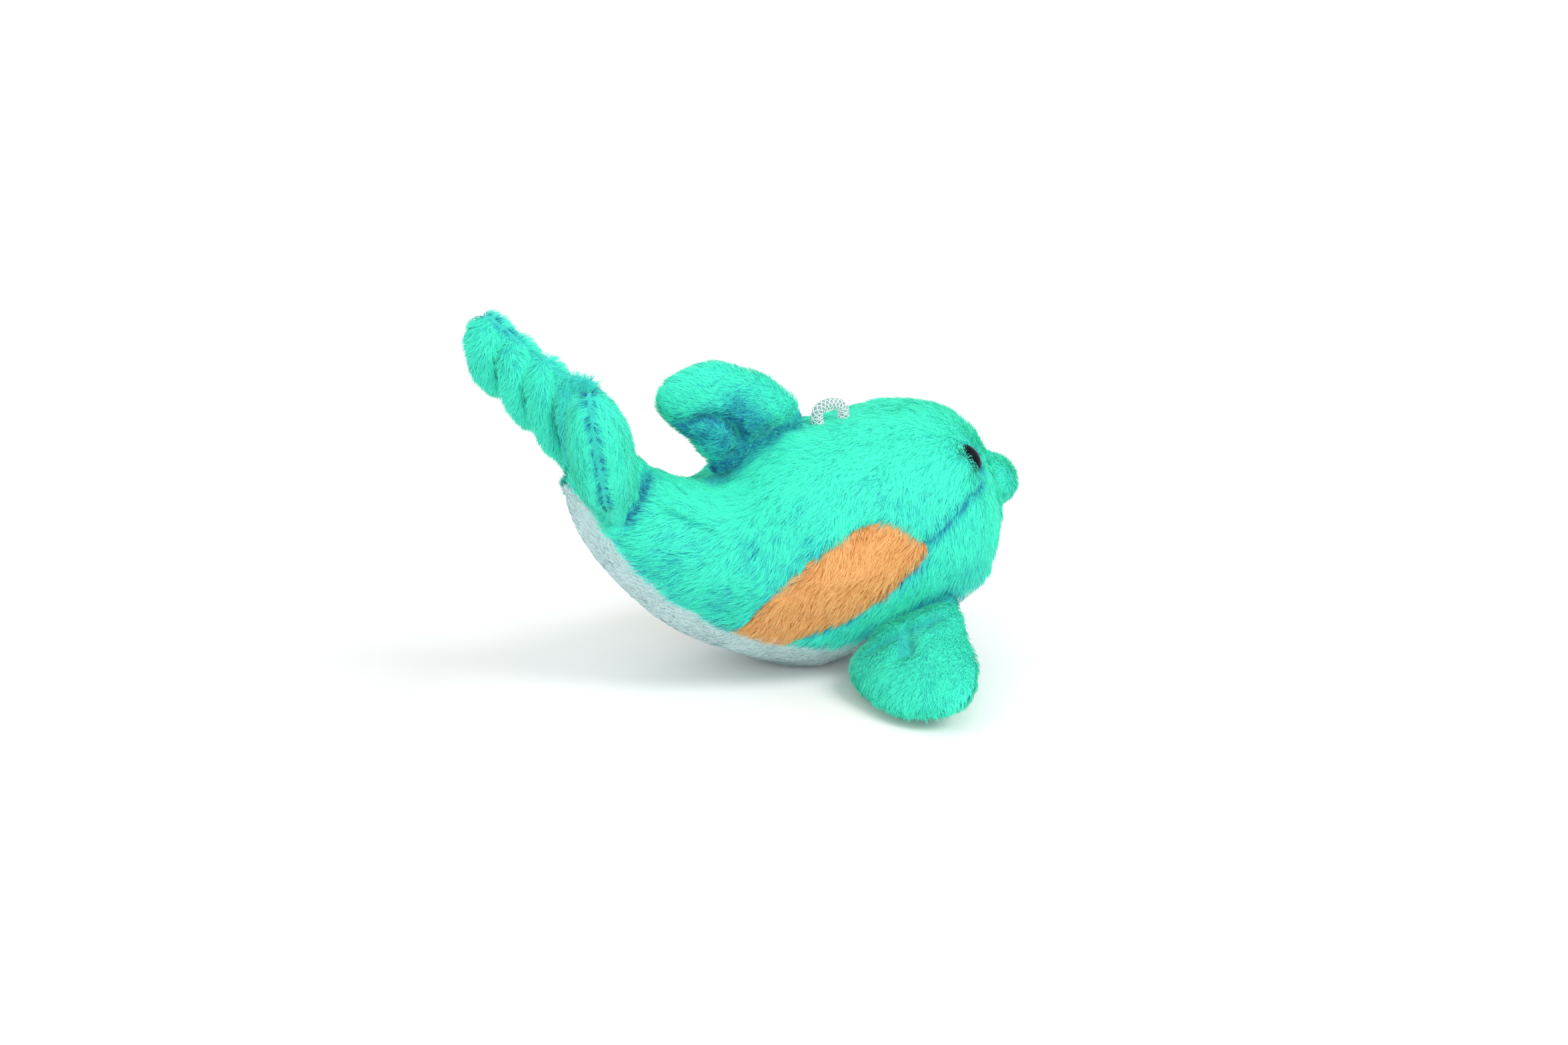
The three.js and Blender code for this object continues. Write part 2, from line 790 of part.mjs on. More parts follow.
// A flipper on one flank
function addFlipper(group, reach, side) {
  const name = side < 0 ? "flipper_right" : "flipper_left";
  const toe = radians(flipperToe);
  const yaw = radians(flipperYaw);
  const seam = new THREE.Vector3(Math.cos(toe), side * Math.sin(toe), Math.tan(radians(flipperPitch)));
  const out = new THREE.Vector3(-Math.sin(yaw), side * Math.cos(yaw), -Math.sin(radians(flipperDroop)));
  const frame = limbFrame(onBody(flipperAlong, side * flipperTurn), seam, out);
  const names = {
    above: name + (side < 0 ? "_upper_cover" : "_lower_cover"),
    below: name + (side < 0 ? "_lower_cover" : "_upper_cover"),
    filling: name + "_filling",
  };
  group.add(limb(names, sewnForm(flipperForm), frame, [reach], flipperTurnLimit));
}

// A tail fluke on one side, kept clear of the other one
function addFluke(group, reach, side) {
  const name = side < 0 ? "fluke_right" : "fluke_left";
  const spread = radians(flukeSpread - side * flukeTwist);
  const lean = radians(flukeLean);
  const above = flukeAbove + side * flukeSlump;
  const middle = new THREE.Vector3(tailX - flukeBehind, side * flukeApart, tailZ + above);
  const seam = new THREE.Vector3(Math.sin(lean), 0, Math.cos(lean));
  const out = new THREE.Vector3(-Math.cos(spread), side * Math.sin(spread), 0);
  const frame = limbFrame(middle, seam, out);
  const names = {
    above: name + (side < 0 ? "_rear_cover" : "_front_cover"),
    below: name + (side < 0 ? "_front_cover" : "_rear_cover"),
    filling: name + "_filling",
  };
  const parts = sewn(flukeRibsSolid(), flukeHollow(skin), flukeHollow(skin + seamGap));
  const otherSide = block(far, far, far, 0, side * (seamGap / 2 - far / 2), 0);
  group.add(limb(names, parts, frame, [reach, otherSide], flukeTurn));
}

const dolphin = new THREE.Group();
const restZ = bodyForm(0).boundingBox().min[2] + flatDepth;
const bodyReach = bodyForm(-clearance);
addBody(dolphin);
addSnout(dolphin, bodyReach);
addLoop(dolphin);
addFin(dolphin, bodyReach);
for (const side of [-1, 1]) {
  addFlipper(dolphin, bodyReach, side);
  addFluke(dolphin, bodyReach, side);
}

// The origin goes on the rest plane, under the middle of the length
const extent = new THREE.Box3().setFromObject(dolphin, true);
dolphin.position.set(-(extent.min.x + extent.max.x) / 2, 0, -restZ);

export default dolphin;
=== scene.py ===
import math
import bpy
import numpy as np
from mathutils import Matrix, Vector, kdtree
from mathutils.bvhtree import BVHTree


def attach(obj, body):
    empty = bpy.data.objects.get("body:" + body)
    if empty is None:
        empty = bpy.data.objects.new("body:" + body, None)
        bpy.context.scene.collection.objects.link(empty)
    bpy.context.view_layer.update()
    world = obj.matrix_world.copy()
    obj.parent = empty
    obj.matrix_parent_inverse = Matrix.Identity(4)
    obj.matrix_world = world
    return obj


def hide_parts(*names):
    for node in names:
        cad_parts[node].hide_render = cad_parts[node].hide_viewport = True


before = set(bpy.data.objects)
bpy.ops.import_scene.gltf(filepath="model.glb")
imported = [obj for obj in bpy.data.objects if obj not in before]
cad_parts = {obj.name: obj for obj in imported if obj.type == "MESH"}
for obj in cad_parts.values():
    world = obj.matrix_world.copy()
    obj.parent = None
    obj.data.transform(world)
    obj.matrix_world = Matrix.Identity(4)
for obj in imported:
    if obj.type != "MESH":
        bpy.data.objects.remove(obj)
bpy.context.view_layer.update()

mm = 0.001
random = np.random.default_rng(17)

# Camera and light, all in metres

camera = {
    "azimuth": -25,
    "elevation": 18,
    "distance": 0.82,
    "lens": 100,
    "aim": (0.0035, 0, 0.02726),
}

lamps = [
    # azimuth, elevation, distance, size, power
    ("keyLamp", 42, 46, 1.2, 0.6, 6.0),
    ("frontLamp", -35, 13, 1.3, 1.2, 4.4),
    ("leftLamp", -110, 38, 1.3, 0.9, 1.6),
    ("rearLamp", 150, 50, 1.3, 0.8, 1.2),
]
worldLight = 0.78


def outFrom(azimuth, elevation):
    a, e = math.radians(azimuth), math.radians(elevation)
    return Vector((math.sin(a) * math.cos(e), -math.cos(a) * math.cos(e), math.sin(e)))


def makeCamera():
    made = bpy.data.objects.new("camera", bpy.data.cameras.new("camera"))
    bpy.context.collection.objects.link(made)
    back = outFrom(camera["azimuth"], camera["elevation"])
    made.location = Vector(camera["aim"]) + back * camera["distance"]
    made.rotation_mode = "QUATERNION"
    made.rotation_quaternion = (-back).to_track_quat("-Z", "Y")
    made.data.lens = camera["lens"]
    made.data.sensor_width = 36
    made.data.clip_start = 0.01
    bpy.context.scene.camera = made


def makeLamps():
    for name, azimuth, elevation, distance, size, power in lamps:
        lamp = bpy.data.lights.new(name, "AREA")
        lamp.shape = "DISK"
        lamp.size = size
        lamp.energy = power
        made = bpy.data.objects.new(name, lamp)
        bpy.context.collection.objects.link(made)
        out = outFrom(azimuth, elevation)
        made.location = Vector(camera["aim"]) + out * distance
        made.rotation_mode = "QUATERNION"
        made.rotation_quaternion = (-out).to_track_quat("-Z", "Y")


# Shader maths: a wire is a socket, and an expression on wires adds its Math nodes

class Wire:
    def __init__(self, sheet, socket):
        self.sheet, self.socket = sheet, socket

    def maths(self, operation, first, second):
        return self.sheet.node("ShaderNodeMath", {"operation": operation}, {0: first, 1: second})

    def __add__(self, other):
        return self.maths("ADD", self, other)

    def __radd__(self, other):
        return self.maths("ADD", other, self)

    def __sub__(self, other):
        return self.maths("SUBTRACT", self, other)

    def __rsub__(self, other):
        return self.maths("SUBTRACT", other, self)

    def __mul__(self, other):
        return self.maths("MULTIPLY", self, other)

    def __rmul__(self, other):
        return self.maths("MULTIPLY", other, self)


class Sheet:
    def __init__(self, name):
        self.material = bpy.data.materials.new(name)
        self.material.use_nodes = True
        self.tree = self.material.node_tree
        self.shader = self.tree.nodes["Principled BSDF"]

    def put(self, socket, value):
        if isinstance(value, Wire):
            self.tree.links.new(value.socket, socket)
        elif isinstance(value, tuple) and len(value) < len(socket.default_value):
            socket.default_value = (*value, 1)
        else:
            socket.default_value = value

    def node(self, kind, settings=None, inputs=None, out=0):
        made = self.tree.nodes.new(kind)
        for key, value in (settings or {}).items():
            if key == "stops":
                self.setStops(made.color_ramp, value)
            else:
                setattr(made, key, value)
        for key, value in (inputs or {}).items():
            self.put(made.inputs[key], value)
        return Wire(self, made.outputs[out])

    def setStops(self, ramp, stops):
        while len(ramp.elements) < len(stops):
            ramp.elements.new(1)
        for element, (place, colour) in zip(ramp.elements, stops):
            element.position = place
            element.color = (*colour, 1)

    def mixColours(self, factor, a, b, how="MIX"):
        settings = {"data_type": "RGBA", "blend_type": how}
        return self.node("ShaderNodeMix", settings, {0: factor, 6: a, 7: b}, 2)

    def grain(self, **values):
        place = self.node("ShaderNodeTexCoord", None, None, 3)
        return self.node("ShaderNodeTexNoise", None, {"Vector": place, **values})

    def raised(self, height, strength, distance):
        values = {"Height": height, "Strength": strength, "Distance": distance}
        return self.node("ShaderNodeBump", None, values)

    def principled(self, **values):
        for key, value in values.items():
            self.put(self.shader.inputs[key.replace("_", " ")], value)
        return self.material


# Pile colours: ramps for a fibre's root, middle and tip by its shade value, painted shade first. Low values
# are painted shade, darker and bluer, and the darker roots are painted shade deep in the pile.

pileColours = {
    "turquoise": {
        "root": [(0.0, (0.003, 0.035, 0.26)), (0.4, (0.010, 0.22, 0.46)), (0.9, (0.045, 0.80, 0.68))],
        "middle": [(0.0, (0.006, 0.08, 0.34)), (0.35, (0.025, 0.48, 0.58)), (0.8, (0.065, 0.94, 0.70))],
        "tip": [(0.0, (0.010, 0.17, 0.42)), (0.35, (0.05, 0.80, 0.68)), (0.8, (0.085, 0.98, 0.70))],
        "roughness": 0.62, "sheen": 0.7, "sheenTint": (0.2, 1.0, 0.78),
    },
    "orange": {
        "root": [(0.0, (0.26, 0.07, 0.012)), (0.4, (0.46, 0.15, 0.025)), (0.9, (0.84, 0.40, 0.11))],
        "middle": [(0.0, (0.40, 0.12, 0.02)), (0.35, (0.74, 0.32, 0.08)), (0.9, (0.95, 0.50, 0.17))],
        "tip": [(0.0, (0.55, 0.20, 0.04)), (0.35, (0.90, 0.48, 0.16)), (1.0, (0.98, 0.68, 0.32))],
        "roughness": 0.62, "sheen": 0.2, "sheenTint": (1.0, 0.75, 0.5),
    },
    # painted light: the white pile's cyan tint is painted bounce light from the turquoise pile
    "white": {
        "root": [(0.0, (0.45, 0.72, 0.74)), (0.8, (0.74, 0.97, 0.98))],
        "middle": [(0.0, (0.60, 0.88, 0.90)), (1.0, (0.80, 1.0, 1.0))],
        "tip": [(0.0, (0.70, 0.95, 0.96)), (1.0, (0.86, 1.0, 1.0))],
        "roughness": 0.7, "sheen": 0.2, "sheenTint": (0.9, 1.0, 1.0),
    },
}


def pileMaterial(name):
    colours = pileColours[name]
    sheet = Sheet(name + "Pile")
    place = sheet.node("ShaderNodeUVMap", {"uv_map": "OFBake"})
    shade = sheet.node("ShaderNodeSeparateXYZ", None, {0: place})
    along = Wire(sheet, shade.socket.node.outputs[1])
    soft = {"interpolation_type": "SMOOTHSTEP"}
    root, middle, tip = (
        sheet.node("ShaderNodeValToRGB", {"stops": colours[part]}, {0: shade})
        for part in ("root", "middle", "tip")
    )
    # painted shade: along each fibre the colour runs from the darker root ramp to the tip ramp, standing in
    # for shade deep in the pile
    low = sheet.node("ShaderNodeMapRange", soft, {0: along, 1: 0.05, 2: 0.5})
    high = sheet.node("ShaderNodeMapRange", soft, {0: along, 1: 0.4, 2: 0.95})
    colour = sheet.mixColours(high, sheet.mixColours(low, root, middle), tip)
    return sheet.principled(
        Base_Color=colour,
        Roughness=colours["roughness"],
        Sheen_Weight=colours["sheen"],
        Sheen_Roughness=0.4,
        Sheen_Tint=colours["sheenTint"],
        Specular_IOR_Level=0.2,
    )


def backingMaterial(name):
    root = pileColours[name]["root"][-1][1]
    sheet = Sheet(name + "Backing")
    dark = tuple(0.55 * c for c in root)
    colour = sheet.mixColours(sheet.grain(Scale=900, Detail=3), dark, root)
    place = sheet.node("ShaderNodeTexCoord", None, None, 3)
    weave = sheet.node("ShaderNodeTexVoronoi", None, {"Vector": place, "Scale": 2200})
    return sheet.principled(Base_Color=colour, Normal=sheet.raised(weave, 0.4, 0.0002), Roughness=0.9)


# Plain finishes: noise picks between two colours, and in some it roughens or raises the surface

plainFinishes = {
    "filling": {
        "name": "fibreFilling", "noise": {"Scale": 420, "Detail": 6, "Distortion": 2},
        "colours": ((0.70, 0.70, 0.69), (0.92, 0.92, 0.90)),
        "roughness": (0.95, 0), "raised": (0.7, 0.0006),
    },
    "cord": {
        "name": "clearBraid", "noise": {"Scale": 1500, "Detail": 2},
        "colours": ((0.80, 0.86, 0.87), (0.98, 1.0, 1.0)),
        "roughness": (0.18, 0), "others": {"IOR": 1.45},
    },
    # painted shade: the darker core shows between the threads as the shade inside the braid
    "core": {
        "name": "clearCore", "noise": {"Scale": 800, "Detail": 2},
        "colours": ((0.16, 0.32, 0.33), (0.42, 0.58, 0.58)),
        "roughness": (0.35, 0),
    },
    "eye": {
        "name": "eyeButton", "noise": {"Scale": 700, "Detail": 2},
        "colours": ((0.004, 0.005, 0.008), (0.012, 0.014, 0.022)),
        "roughness": (0.05, 0.05), "others": {"IOR": 1.2, "Specular_IOR_Level": 0.08},
    },
    # painted reflection: the brown rim stands in for a reflection along the eye's edge
    "eyeRim": {
        "name": "eyeRim", "noise": {"Scale": 1200, "Detail": 3},
        "colours": ((0.10, 0.045, 0.03), (0.30, 0.16, 0.12)),
        "roughness": (0.3, 0.2),
    },
    "washer": {
        "name": "lockWasher", "noise": {"Scale": 300, "Detail": 2},
        "colours": ((0.80, 0.80, 0.78), (0.90, 0.90, 0.88)),
        "roughness": (0.4, 0.15),
    },
}


def plainMaterial(finish):
    sheet = Sheet(finish["name"])
    noise = sheet.grain(**finish["noise"])
    least, more = finish["roughness"]
    values = {
        "Base_Color": sheet.mixColours(noise, *finish["colours"]),
        "Roughness": least + more * noise if more else least,
        **finish.get("others", {}),
    }
    if "raised" in finish:
        values["Normal"] = sheet.raised(noise, *finish["raised"])
    return sheet.principled(**values)


def floorMaterial():
    sheet = Sheet("paleFloor")
    rays = sheet.node("ShaderNodeLightPath")
    outputs = rays.socket.node.outputs
    kinds = [Wire(sheet, outputs[f"Is {kind} Ray"]) for kind in ("Camera", "Glossy", "Transmission")]
    seen = kinds[0] + kinds[1] + kinds[2]
    colour = sheet.mixColours(seen, (0.80, 0.81, 0.81), (1.0, 1.0, 1.0))
    return sheet.principled(Base_Color=colour, Roughness=1.0, Specular_IOR_Level=0.0)


# Curves and noise

def splineAt(points, t, closed=False):
    p = np.asarray(points, float)
    t = np.asarray(t, float)
    count = len(p)
    if closed:
        ends = np.vstack([p[-1:], p, p[:2]])
        place = (t % 1) * count
        k = np.clip(np.floor(place).astype(int), 0, count - 1)
    else:
        ends = np.vstack([2 * p[0] - p[1], p, 2 * p[-1] - p[-2]])
        place = t * (count - 1)
        k = np.clip(np.floor(place).astype(int), 0, count - 2)
    w = (place - k)[..., None]
    a, b, c, d = ends[k], ends[k + 1], ends[k + 2], ends[k + 3]
    ab, bc, cd = (
        np.maximum(((v - u) ** 2).sum(-1, keepdims=True) ** 0.25, 1e-4)
        for u, v in ((a, b), (b, c), (c, d))
    )
    start = ((b - a) / ab - (c - a) / (ab + bc) + (c - b) / bc) * bc
    end = ((c - b) / bc - (d - b) / (bc + cd) + (d - c) / cd) * bc
    return b + start * w + (3 * (c - b) - 2 * start - end) * w**2 + (2 * (b - c) + start + end) * w**3


def walkAlong(points):
    return np.concatenate([[0], np.cumsum(np.linalg.norm(np.diff(points, axis=0), axis=1))])


def evenly(points, count, closed=False):
    fine = splineAt(points, np.linspace(0, 1, 801), closed)
    walked = walkAlong(fine)
    wanted = np.linspace(0, walked[-1], count, endpoint=not closed)
    return np.stack([np.interp(wanted, walked, fine[:, i]) for i in range(fine.shape[1])], 1)


lattice = random.random((24, 24, 24, 3)) * 2 - 1


def softNoise(points, size):
    q = np.asarray(points, float) / size + 100
    i = np.floor(q).astype(int)
    f = q - i
    f = f * f * (3 - 2 * f)
    total = np.zeros_like(q)
    for corner in np.ndindex(2, 2, 2):
        c = np.array(corner)
        share = np.prod(np.where(c, f, 1 - f), axis=1)
        j = (i + c) % 24
        total += share[:, None] * lattice[j[:, 0], j[:, 1], j[:, 2]]
    return total


def unit(v):
    return v / np.maximum(np.linalg.norm(v, axis=-1, keepdims=True), 1e-9)


def fade(distance, width):
    return np.exp(-((distance / width) ** 2))


def smooth(low, high, x):
    s = np.clip((x - low) / (high - low), 0, 1)
    return s * s * (3 - 2 * s)


def fromLine(points, line):
    line = np.asarray(line, float)
    best = np.full(len(points), 1e9)
    for a, b in zip(line[:-1], line[1:]):
        arm = b - a
        s = np.clip(((points - a) @ arm) / max(arm @ arm, 1e-9), 0, 1)
        best = np.minimum(best, np.linalg.norm(points - a - s[:, None] * arm, axis=1))
    return best


# Body form: stations from the face to the tail, in millimetres

body = {
    "shift": np.array([3.5029, 0, -0.7385]),
    "middle": [(42, 31.9), (23, 27.3), (3.5, 23.8), (-14.5, 24), (-25.6, 28.8), (-34.3, 36.6), (-39.2, 48)],
    "girth": [(21, 21.5), (23, 22.2), (24, 23.8), (19.5, 17.6), (14.5, 12.8), (10.5, 9.4), (7, 6)],
    "headCap": 1 / 6,
    "headBlunt": 2.4,
    "tailCap": 0.1,
    "along": 190,
    "around": 192,
    "pileDepth": 1.3,
    "bellyDepth": 0.6,
    "restGap": 0.8,
    "stuffingDepth": 4.6,
    "stuffingGap": 3.2,
    "stuffingLumps": (9, 1.2),
    "crowding": 0.75,
    "bellyGroove": (0.7, 3.0),  # depth and width
    "patchGroove": (0.8, 0.9),
    "bellyBlend": (-10, 6),  # degrees from the belly's edge
    "combLean": (8, 44),  # down the side, in degrees, at the back and how much more below
    "combTurn": (15, 80),
}


def onBody(t, turn):
    t = np.asarray(t, float)
    turn = np.radians(np.asarray(turn, float))
    t, turn = np.broadcast_arrays(t, turn)
    step = 1e-4
    middle = splineAt(body["middle"], t)
    ahead, behind = (splineAt(body["middle"], np.clip(t + move, 0, 1)) for move in (step, -step))
    along = unit(ahead - behind)
    size = splineAt(body["girth"], t)
    fromFace = 1 - np.minimum(t / body["headCap"], 1)
    fromTail = 1 - np.minimum((1 - t) / body["tailCap"], 1)
    blunt = body["headBlunt"]
    rounding = (1 - fromFace**blunt) ** (1 / blunt) * np.sqrt(1 - fromTail**2)
    up = size[..., 1] * rounding * np.cos(turn)
    x = middle[..., 0] + along[..., 1] * up
    z = middle[..., 1] - along[..., 0] * up
    y = size[..., 0] * rounding * np.sin(turn)
    return np.stack([x, y, z], -1) + body["shift"]


def bodySlopes(t, turn):
    alongStep, turnStep = 0.002, 0.5
    t = np.clip(np.asarray(t, float), 0.004, 0.996)
    along = unit(onBody(t + alongStep, turn) - onBody(t - alongStep, turn))
    around = unit(onBody(t, turn + turnStep) - onBody(t, turn - turnStep))
    return along, around, unit(np.cross(around, along))


def standFrame(t, turn):
    along, _, out = bodySlopes(t, turn)
    forward = -unit(along - out * (along @ out))
    return np.stack([forward, np.cross(out, forward), out], 1), onBody(t, turn)


# Stuffing: a cage of the cloth is blown up from inside while its seams are held, at a size the solver likes

stuffed = {
    "scale": 20, "pressure": 6, "mass": 0.03, "steps": 20, "stretch": 8, "bend": 0.2, "quality": 6,
    "bodyRows": 72, "bodyCap": 0.8, "bellyHold": 4, "patchHold": 1.5,
    "limbRings": 12, "limbCap": 1.0,
}


def blowUp(points, faces, held, cap):
    cage = addMesh("cage", points * stuffed["scale"], faces, None)
    group = cage.vertex_groups.new(name="held")
    for index in np.flatnonzero(held > 0.02).tolist():
        group.add([index], float(held[index]), "REPLACE")
    cloth = cage.modifiers.new("cloth", "CLOTH")
    cloth.settings.quality = stuffed["quality"]
    cloth.settings.mass = stuffed["mass"]
    cloth.settings.tension_stiffness = stuffed["stretch"]
    cloth.settings.compression_stiffness = stuffed["stretch"]
    cloth.settings.bending_stiffness = stuffed["bend"]
    cloth.settings.vertex_group_mass = "held"
    cloth.settings.use_pressure = True
    cloth.settings.uniform_pressure_force = stuffed["pressure"]
    cloth.settings.effector_weights.gravity = 0
    scene = bpy.context.scene
    for step in range(1, stuffed["steps"] + 1):
        scene.frame_set(step)
    shaped = cage.evaluated_get(bpy.context.evaluated_depsgraph_get()).data
    moved = np.empty(len(points) * 3, np.float32)
    shaped.vertices.foreach_get("co", moved)
    moved = moved.reshape(-1, 3) / mm / stuffed["scale"] - points
    scene.frame_set(1)
    bpy.data.objects.remove(cage)
    far = np.linalg.norm(moved, axis=1, keepdims=True)
    return moved * np.minimum(1, cap / np.maximum(far, 1e-6))


def resample(grid, rows, columns):
    r, c = grid.shape[:2]
    y = np.linspace(0, r - 1, rows)
    x = np.arange(columns) * c / columns
    i, j = np.minimum(y.astype(int), r - 2), x.astype(int)
    v, u = (y - i)[:, None, None], (x - j)[None, :, None]
    k = (j + 1) % c
    above = grid[i][:, j] * (1 - u) + grid[i][:, k] * u
    below = grid[i + 1][:, j] * (1 - u) + grid[i + 1][:, k] * u
    return above * (1 - v) + below * v


# Seams of the body: the belly panel's edge and the orange patch's outline

seams = {
    "chin": 0.035,
    "bellyEnd": 0.93,
    "bellyTurn": 130,
    "bellyTaper": 0.09,
    "patchShift": (0.5, -1.0),
    "patch": [
        # along the body, turn from the back
        (0.195, 85), (0.210, 77), (0.240, 68), (0.2875, 64), (0.3725, 70), (0.4375, 83), (0.478, 103.5),
        (0.5, 130), (0.5, 150), (0.43, 150), (0.43, 129), (0.3175, 108), (0.2475, 97),
    ],
}


def bellyEdge(t):
    toEnd = np.clip(np.minimum(t - seams["chin"], seams["bellyEnd"] - t) / seams["bellyTaper"], 0, 1)
    return 180 - (180 - seams["bellyTurn"]) * np.sqrt(np.maximum(1 - (1 - toEnd) ** 2, 0))


patchCorners = onBody(*np.array(seams["patch"]).T)[:, [0, 2]]
patchEdge = evenly(patchCorners + seams["patchShift"], 120, closed=True)


def insidePatch(points):
    x, z = points[:, 0], points[:, 2]
    inside = np.zeros(len(points), bool)
    for (ax, az), (bx, bz) in zip(patchEdge, np.roll(patchEdge, -1, axis=0)):
        crosses = (az > z) != (bz > z)
        with np.errstate(divide="ignore", invalid="ignore"):
            inside ^= crosses & (x < (bx - ax) * (z - az) / (bz - az) + ax)
    return inside


def fromPatchEdge(points):
    flat = np.column_stack([points[:, 0], points[:, 2]])
    return fromLine(flat, np.vstack([patchEdge, patchEdge[:1]]))


# Folds that the stuffing and the stitches pull into the cloth: a line, its depth and its width

folds = {
    "mouth": {
        "line": [(39.3, -14.6, 36.2), (37.1, -17.0, 35.9), (34.3, -19.2, 35.0), (30.2, -21.5, 32.7),
                 (25.0, -22.8, 29.4), (22.9, -23.2, 27.8)],
        "depth": 0.9, "width": 0.8,
    },
    "tail": {
        "line": [(-23.7, -2.9, 41.2), (-26.8, -7.8, 40.0), (-29.4, -9.9, 37.8), (-32.3, -10.2, 35.1)],
        "depth": 1.6, "width": 1.3,
    },
    "flipperCrease": {
        "line": [(9.5, -23.6, 9.6), (13.0, -24.6, 11.0), (16.4, -25.9, 12.2), (20.2, -26.8, 13.9),
                 (23.0, -26.4, 15.2)],
        "depth": 1.0, "width": 1.9,
    },
    "flipperPinch": {
        "line": [(16.9, -24.8, 12.4), (15.2, -28.5, 11.6), (13.4, -32.4, 10.6)],
        "depth": 1.3, "width": 1.6,
    },
    "finCrease": {
        "line": [(-18.2, -2.6, 48.9), (-15.3, -3.8, 50.3), (-12.3, -4.3, 50.6), (-9.5, -4.4, 49.7),
                 (-7.1, -3.7, 47.4), (-5.6, -3.0, 45.2)],
        "depth": 2.4, "width": 1.3,
    },
}
for name in ("mouth", "tail", "flipperCrease", "flipperPinch"):
    right = folds.pop(name)
    folds[name + "Right"] = right
    folds[name + "Left"] = {**right, "line": [(x, -y, z) for x, y, z in right["line"]]}


# Places where the stuffing presses the cloth out: a middle, a reach and a height
swells = [
    ((40.6, 0, 42.5), 8, 1.5),  # brow
    ((33.0, -16.2, 39.7), 2.7, 1.9),  # behind the right eye
    ((33.0, 16.2, 39.7), 2.7, 1.9),  # behind the left eye
    ((-21, 0, 44.5), 6, 1.8),  # tail stock
]


def swellAt(points):
    total = np.zeros(len(points))
    for middle, reach, height in swells:
        total += height * fade(np.linalg.norm(points - middle, axis=1), reach)
    return total


def foldAt(points, names):
    share = np.zeros(len(points))
    depth = np.zeros(len(points))
    for name in names:
        fold = folds[name]
        near = fade(fromLine(points, evenly(fold["line"], 14)), fold["width"])
        share = np.maximum(share, near)
        depth = np.maximum(depth, near * fold["depth"])
    return share, depth


# Meshes

def addMesh(name, points, faces, material, smoothed=True, uv=None):
    points = np.asarray(points, float) * mm
    faces = [np.asarray(f, np.int32) for f in (faces if isinstance(faces, list) else [faces])]
    faces = [f for f in faces if len(f)]
    corners = np.concatenate([f.ravel() for f in faces])
    sizes = np.concatenate([np.full(len(f), f.shape[1], np.int32) for f in faces])
    mesh = bpy.data.meshes.new(name)
    mesh.vertices.add(len(points))
    mesh.vertices.foreach_set("co", points.astype(np.float32).ravel())
    mesh.loops.add(len(corners))
    mesh.loops.foreach_set("vertex_index", corners)
    mesh.polygons.add(len(sizes))
    mesh.polygons.foreach_set("loop_start", np.concatenate([[0], np.cumsum(sizes)[:-1]]).astype(np.int32))
    mesh.polygons.foreach_set("use_smooth", np.full(len(sizes), smoothed))
    mesh.update(calc_edges=True)
    if uv is not None:
        layer = mesh.uv_layers.new(name="OFBake")
        layer.data.foreach_set("uv", uv[corners].astype(np.float32).ravel())
    if material:
        mesh.materials.append(material)
    mesh.validate()
    made = bpy.data.objects.new(name, mesh)
    bpy.context.collection.objects.link(made)
    return made


def gridFaces(rows, columns):
    r, c = np.meshgrid(np.arange(rows - 1), np.arange(columns), indexing="ij")
    a = r * columns + c
    b = r * columns + (c + 1) % columns
    return np.stack([a, b, b + columns, a + columns], -1).reshape(-1, 4)


def keepFaces(points, faces):
    used = np.unique(faces)
    index = np.zeros(len(points), int)
    index[used] = np.arange(len(used))
    return points[used], index[faces]


def joined(pieces):
    points, faces, start = [], [], 0
    for own, ownFaces in pieces:
        points.append(own)
        faces.append(ownFaces + start)
        start += len(own)
    return np.vstack(points), np.vstack(faces)


def outsideOf(tree, points, margin):
    free = np.ones(len(points), bool)
    for i, point in enumerate(points.tolist()):
        at, normal, *_ = tree.find_nearest(point, 12)
        if at is not None:
            free[i] = (Vector(point) - at).dot(normal) > margin
    return free


def camel(node):
    first, *rest = node.split("_")
    return first + "".join(word.title() for word in rest)


def declare(piece, rider, node=None):
    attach(piece, rider)
    if node:
        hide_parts(node)


# Pile: fibres that grow from a skin, laid over in the direction it was combed and drawn into tufts

pileSizes = {
    "turquoise": {"length": 3.2, "density": 15, "lift": 34, "tipLift": 12, "spread": 0.22, "draw": 0.26},
    "orange": {"length": 3.0, "density": 15, "lift": 36, "tipLift": 12, "spread": 0.24, "draw": 0.28},
    "white": {"length": 1.6, "density": 12, "lift": 36, "tipLift": 10, "spread": 0.25, "draw": 0.2},
    "limb": {"length": 2.5, "density": 15, "lift": 38, "tipLift": 16, "spread": 0.3, "draw": 0.24},
    "snout": {"length": 2.1, "density": 17, "lift": 40, "tipLift": 18, "spread": 0.3, "draw": 0.2},
}
pileLook = {
    "width": 0.13, "unevenWidth": (0.75, 0.5), "tapers": (1.0, 0.8), "ridge": 0.35, "roll": 0.5,
    "tuft": 0.6, "tuftPull": (0.6, 0.8), "tuftCurve": 1.3,
    "seat": 0.25, "lowest": 0.06,  # below the skin, above the floor
    "swirls": ((7, 0.5), (2.6, 0.35)),  # sizes and strengths
    "length": 0.78, "unevenLength": 0.34, "clumpLength": 0.12, "clump": 3.0,
    "unevenLift": 0.2, "clumpLift": 0.35, "liftRange": (8, 85),
    "shadeByArea": 0.14, "shadeByPatch": 0.12, "shadeByTuft": 0.24, "shadeByFibre": 0.2,
    # specks, speckDepth, unevenSpecks: share and depth of painted shade flecks between the fibres
    "specks": 0.13, "speckDepth": 0.3, "unevenSpecks": 0.3, "darkest": 0.85,
    "edgeShade": 0.012,
}
fibreSteps = 2
mostFibres = 32000  # in one mesh


